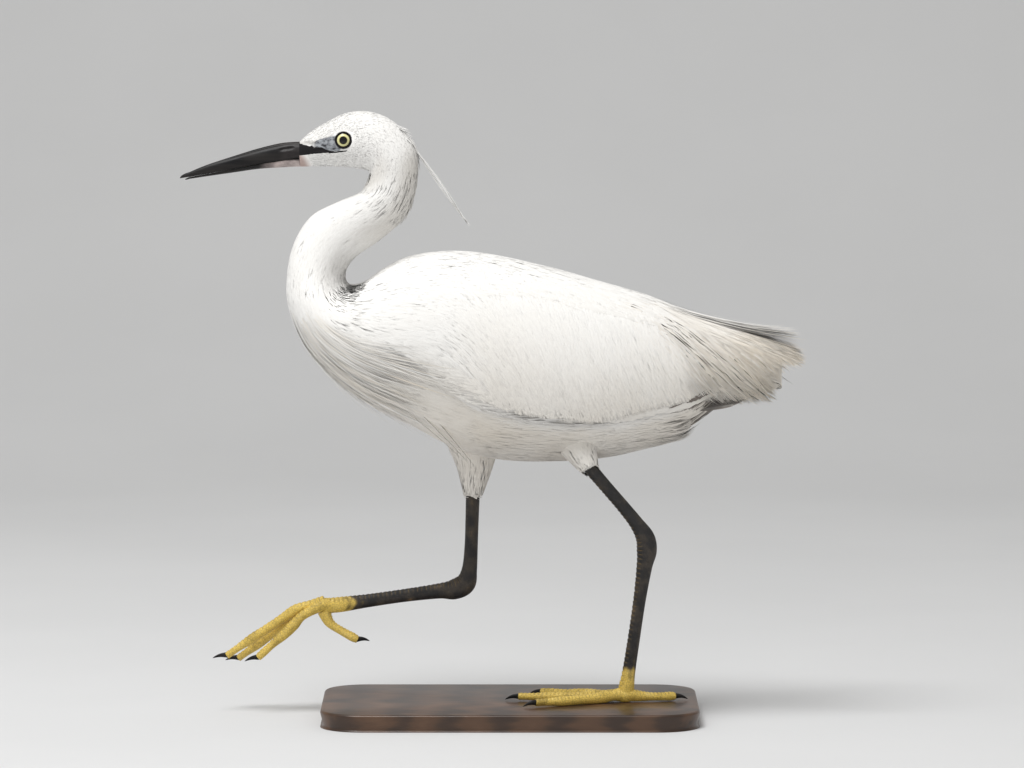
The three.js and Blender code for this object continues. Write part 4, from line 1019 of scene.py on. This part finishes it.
# Bill and eyes
def bill_half(upper):
    """One half of the bill with lengthwise grooves and, above, a slit nostril on each side."""
    n, around = 150, 40
    s = np.linspace(0, 1, n)
    x, ridge, mouth, keel, half = through(BILL, s * (len(BILL) - 1)).T
    x = x - 0.9 * (1 - ramp(s, 0, 0.06))
    tip_x, tip_z = BILL_TIP["upper" if upper else "lower"]
    extra = np.linspace(0, 1, 30)[1:]
    shrink = np.sqrt(np.clip(1 - extra ** 1.6, 0, 1))
    last = BILL[-1]
    x = np.append(x, last[0] + (tip_x - last[0]) * extra)
    centre = last[2] + (tip_z - last[2]) * extra
    ridge = np.append(ridge, centre + (last[1] - last[2]) * shrink)
    keel = np.append(keel, centre + (last[3] - last[2]) * shrink)
    mouth = np.append(mouth, centre)
    half = np.append(half, last[4] * shrink + 0.02)
    edge = mouth + (0.12 if upper else -0.12)
    reach = (ridge if upper else keel) - edge
    a = np.linspace(0, np.pi, around)
    y = half[:, None] * np.cos(a) * (1 if upper else 0.9)
    z = edge[:, None] + reach[:, None] * np.sin(a) ** 0.85
    fade = (1 - ramp(x, 175, 215))[:, None]
    groove = 0.45 * np.exp(-((np.abs(a - np.pi / 2) - 0.62) / 0.10) ** 2) * fade * (1 if upper else 0.6)
    slit = np.exp(-(((x[:, None] - NOSTRIL["x"]) / (NOSTRIL["length"] / 2)) ** 4)) * NOSTRIL["depth"] if upper else 0
    slope = NOSTRIL["z"] - (x[:, None] - NOSTRIL["x"]) * NOSTRIL["slope"]
    slit = slit * np.exp(-(((z - slope) / (NOSTRIL["height"] / 2)) ** 2)) if upper else 0
    y = y - np.sign(np.cos(a)) * (groove + slit) * np.minimum(1, np.abs(y) / 1.5)
    ring = np.stack([np.broadcast_to(x[:, None], y.shape), y, z], -1)
    flat = np.linspace(-1, 1, 10)[1:-1]
    close = np.stack(np.broadcast_arrays(x[:, None], half[:, None] * flat, edge[:, None]), -1)
    grid = np.concatenate([ring, close], 1)
    tone = np.zeros(grid.shape[:-1] + (4,))
    base = 1 - ramp(grid[..., 0], 156 if upper else 161, 163 if upper else 176)
    tone[..., 0] = base * (0.03 if upper else 1.0) * (1 - ramp(grid[..., 2], 390.8, 392.4) * (not upper))
    bundle = Bundle()
    bundle.loft(grid if upper else grid[:, ::-1], mark=tone if upper else tone[:, ::-1])
    piece = bundle.make("bill_upper_detail" if upper else "bill_lower_detail", horn_finish)
    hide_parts("bill_upper" if upper else "bill_lower")


bill_half(True)
bill_half(False)

gloss = eye_material()
for name, side in SIDES.items():
    a, b = lattice(np.linspace(0.001, np.pi - 0.001, 48), circle(64))
    ball = np.stack([np.sin(a) * np.cos(b), side * np.cos(a), np.sin(a) * np.sin(b)], -1) * EYE["radius"]
    ball = ball + [EYE["x"], side * EYE["out"], EYE["z"]]
    bundle = Bundle()
    bundle.loft(ball if side < 0 else ball[:, ::-1])
    piece = bundle.make("eye_ball_" + name, gloss)
    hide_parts("eye_" + name)


# Legs, feet and claws
def limb(stations, rings, around, face, plates, relief, tone):
    """A scaled limb: plates overlap on the side that faces face, and fine scales cover the rest."""
    stations = np.array(stations, float)
    s = np.linspace(0, 1, rings)
    values = through(stations, s * (len(stations) - 1))
    middle = values[:, :3]
    along = unit(np.gradient(middle, axis=0))
    across, front = across_and_front(along)
    a = circle(around)
    way = front[:, None] * np.cos(a)[None, :, None] + across[:, None] * np.sin(a)[None, :, None]
    toward = np.clip(unit(way) @ np.array(face, float), 0, 1)
    travel = np.concatenate([[0], np.cumsum(np.linalg.norm(np.diff(middle, axis=0), axis=1))])
    saw = (travel / travel[-1] * plates) % 1
    step = relief * (0.5 - saw) * 2
    notch = np.exp(-(np.minimum(saw, 1 - saw) / 0.10) ** 2)
    out = (step - relief * notch)[:, None] * ramp(toward, 0.35, 0.7)
    size = np.stack([values[:, 3:4] * np.cos(a), values[:, 4:5] * np.sin(a)], -1)
    grid = middle[:, None] + front[:, None] * size[..., :1] + across[:, None] * size[..., 1:2] + way * out[..., None]
    shade = np.zeros(grid.shape[:-1] + (4,))
    shade[..., 1] = tone(grid)
    shade[..., 2] = notch[:, None] * ramp(toward, 0.3, 0.6)
    return grid[:, ::-1], shade[:, ::-1]


def yellow_share(name):
    joint = np.array(LEG[name]["joint"], float)

    def share(p):
        far = np.linalg.norm(p - joint, axis=-1)
        wander = 5 * np.sin(p[..., 0] * 0.9 + p[..., 1] * 1.7) + 4 * np.sin(p[..., 2] * 0.7)
        return 1 - ramp(far + wander * 0.5, 13, 24)

    return share


for name, side in SIDES.items():
    leg = LEG[name]
    forward = (1, 0, 0.2) if name == "left" else (0.3, 0, 1)
    whole = leg["shank"] + leg["tarsus"][1:] + [leg["joint"] + [5.4, 4.8]]
    grid, tone = limb(whole, 420, 44, forward, 54, 0.24, yellow_share(name))
    bundle = Bundle()
    bundle.loft(grid, mark=tone)
    piece = bundle.make(f"leg_{name}_scaled", scale_finish)
    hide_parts("shank_" + name, "tarsus_" + name)
    bundle = Bundle()
    joint = np.array(leg["joint"], float)
    for toe, (joints, points, tip) in TOES[name].items():
        s = np.linspace(0, 1, 8)
        path = through(np.array(points, float), s * (len(points) - 1))
        start = path[0] + (path[0] - path[1]) * 0.25
        path = np.vstack([start, path])
        s = np.concatenate([[-0.05], s])
        swell = 1 + KNUCKLE * np.cos(2 * np.pi * joints * s)
        radius = (TOE_ROOT + (TOE_END - TOE_ROOT) * np.clip(s, 0, 1)) * swell
        radius[-1] = TOE_END * 0.92
        stations = np.column_stack([path, radius, radius * 0.95])
        top = np.array([0, 0, 1.0]) if name == "left" else unit(np.cross(unit(path[-1] - path[0]), [0, -1.0, 0]))
        if top[2] < 0:
            top = -top
        grid, tone = limb(stations, 150, 32, top, 7 + 6 * joints, 0.26, lambda p: np.ones(p.shape[:-1]))
        if name == "left":
            grid[..., 2] = np.maximum(grid[..., 2], SOLE)
        bundle.loft(grid, mark=tone)
    a, b = lattice(np.linspace(0.01, np.pi - 0.01, 24), circle(32))
    hub = np.stack([np.sin(a) * np.cos(b), np.sin(a) * np.sin(b), np.cos(a)], -1) * [5.9, 5.4, 5.6]
    hub = (hub + joint)[:, ::-1]
    if name == "left":
        hub[..., 2] = np.maximum(hub[..., 2], SOLE)
    tone = np.zeros(hub.shape[:-1] + (4,))
    tone[..., 1] = 1
    bundle.loft(hub[::-1], mark=tone)
    piece = bundle.make(f"foot_{name}_scaled", scale_finish)
    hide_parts("foot_" + name)
    for toe, (joints, points, tip) in TOES[name].items():
        end, before, tip = np.array(points[-1], float), np.array(points[-2], float), np.array(tip, float)
        face = unit(end - before)
        s = np.linspace(0, 1, 26)
        middle = end + face * (-0.8 * (1 - s) ** 2)[:, None] + (tip - end) * s[:, None]
        middle[:, 2] += 0.9 * np.sin(np.pi * s)
        along = unit(np.gradient(middle, axis=0))
        across, up = across_and_front(along)
        radius = 2.0 * np.clip(1 - s, 0, 1) ** 0.75 + 0.05
        a = circle(20)
        grid = (middle[:, None] + across[:, None] * (radius[:, None] * 0.72 * np.sin(a))[..., None]
                + up[:, None] * (radius[:, None] * np.cos(a))[..., None])
        if name == "left":
            grid[..., 2] = np.maximum(grid[..., 2], SOLE)
        bundle = Bundle()
        bundle.loft(grid, mark=np.zeros(grid.shape[:-1] + (4,)))
        piece = bundle.make(f"claw_{name}_{toe}_curved", horn_finish)
        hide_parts(f"claw_{name}_{toe}")

# Base
r, bevel = BASE["corner"], BASE["bevel"]
turn = np.linspace(0, np.pi / 2, 16)
ring, outward = [], []
for q, (sx, sy) in enumerate(((1, 1), (-1, 1), (-1, -1), (1, -1))):
    way = np.column_stack([np.cos(turn + q * np.pi / 2), np.sin(turn + q * np.pi / 2)])
    outward.append(way)
    ring.append([sx * (BASE["length"] / 2 - r), sy * (BASE["width"] / 2 - r)] + r * way)
ring, outward = np.concatenate(ring), np.concatenate(outward)
levels = []  # how far in and how high each ring lies
for a in np.linspace(0, np.pi / 2, 5):
    levels.append((bevel * np.sin(a), bevel * (1 - np.cos(a))))
for a in np.linspace(0, np.pi / 2, 5):
    levels.append((bevel * (1 - np.cos(a)), BASE["height"] - bevel * (1 - np.sin(a))))
grid = np.stack([np.column_stack([ring - outward * inset, np.full(len(ring), z)]) for inset, z in levels])
wood = Bundle()
wood.loft(grid)
stand = wood.make("stand_base_wood", wood_material())
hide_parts("stand_base")

# Stage, light and camera
def cyclorama(width, near, far, radius, height):
    """A paper floor that curves up behind into a wall, in millimetres."""
    a = np.linspace(0, np.pi / 2, 24)
    line = [[near, 0.0], [far, 0.0]] + [[far - radius * np.sin(b), radius * (1 - np.cos(b))] for b in a[1:]]
    line.append([far - radius, height])
    line = np.array(line)
    points = np.concatenate([np.column_stack([np.full(len(line), x), line]) for x in (-width, width)])
    n = len(line)
    k = np.arange(n - 1)
    return points, np.stack([k, k + n, k + n + 1, k + 1], -1)


paper, paper_faces = cyclorama(7000, 7000, -1500, 1500, 6000)
floor = make_mesh("floor", paper, [paper_faces[:, ::-1]], floor_material(), body_name=None)


def area_light(name, place, aim, size, energy):
    lamp = bpy.data.lights.new(name, "AREA")
    lamp.shape, lamp.size, lamp.energy = "DISK", size, energy
    made = bpy.data.objects.new(name, lamp)
    made.location = place
    made.visible_glossy = name == "sky"
    made.rotation_euler = (Vector(aim) - Vector(place)).to_track_quat("-Z", "Y").to_euler()
    bpy.context.scene.collection.objects.link(made)


for name, (place, aim, size, energy) in LIGHTS.items():
    area_light(name, place, aim, size, energy)
world = bpy.data.worlds.new("studio")
bpy.context.scene.world = world
world.use_nodes = True
background = next(n for n in world.node_tree.nodes if n.type == "BACKGROUND")
background.inputs["Color"].default_value = WORLD["colour"]
background.inputs["Strength"].default_value = WORLD["strength"]
bpy.context.scene.view_settings.view_transform = "Standard"

far = CAMERA["seen"] * CAMERA["lens"] / CAMERA["sensor"]
aim = Vector(CAMERA["aim"])
tilt = math.radians(CAMERA["tilt"])
eye_point = aim + far * Vector((0, math.cos(tilt), math.sin(tilt)))
lens_data = bpy.data.cameras.new("camera")
lens_data.lens, lens_data.sensor_width, lens_data.clip_end = CAMERA["lens"], CAMERA["sensor"], 50
camera = bpy.data.objects.new("camera", lens_data)
camera.location = eye_point
camera.rotation_euler = (aim - eye_point).to_track_quat("-Z", "Y").to_euler()
bpy.context.scene.collection.objects.link(camera)
bpy.context.scene.camera = camera
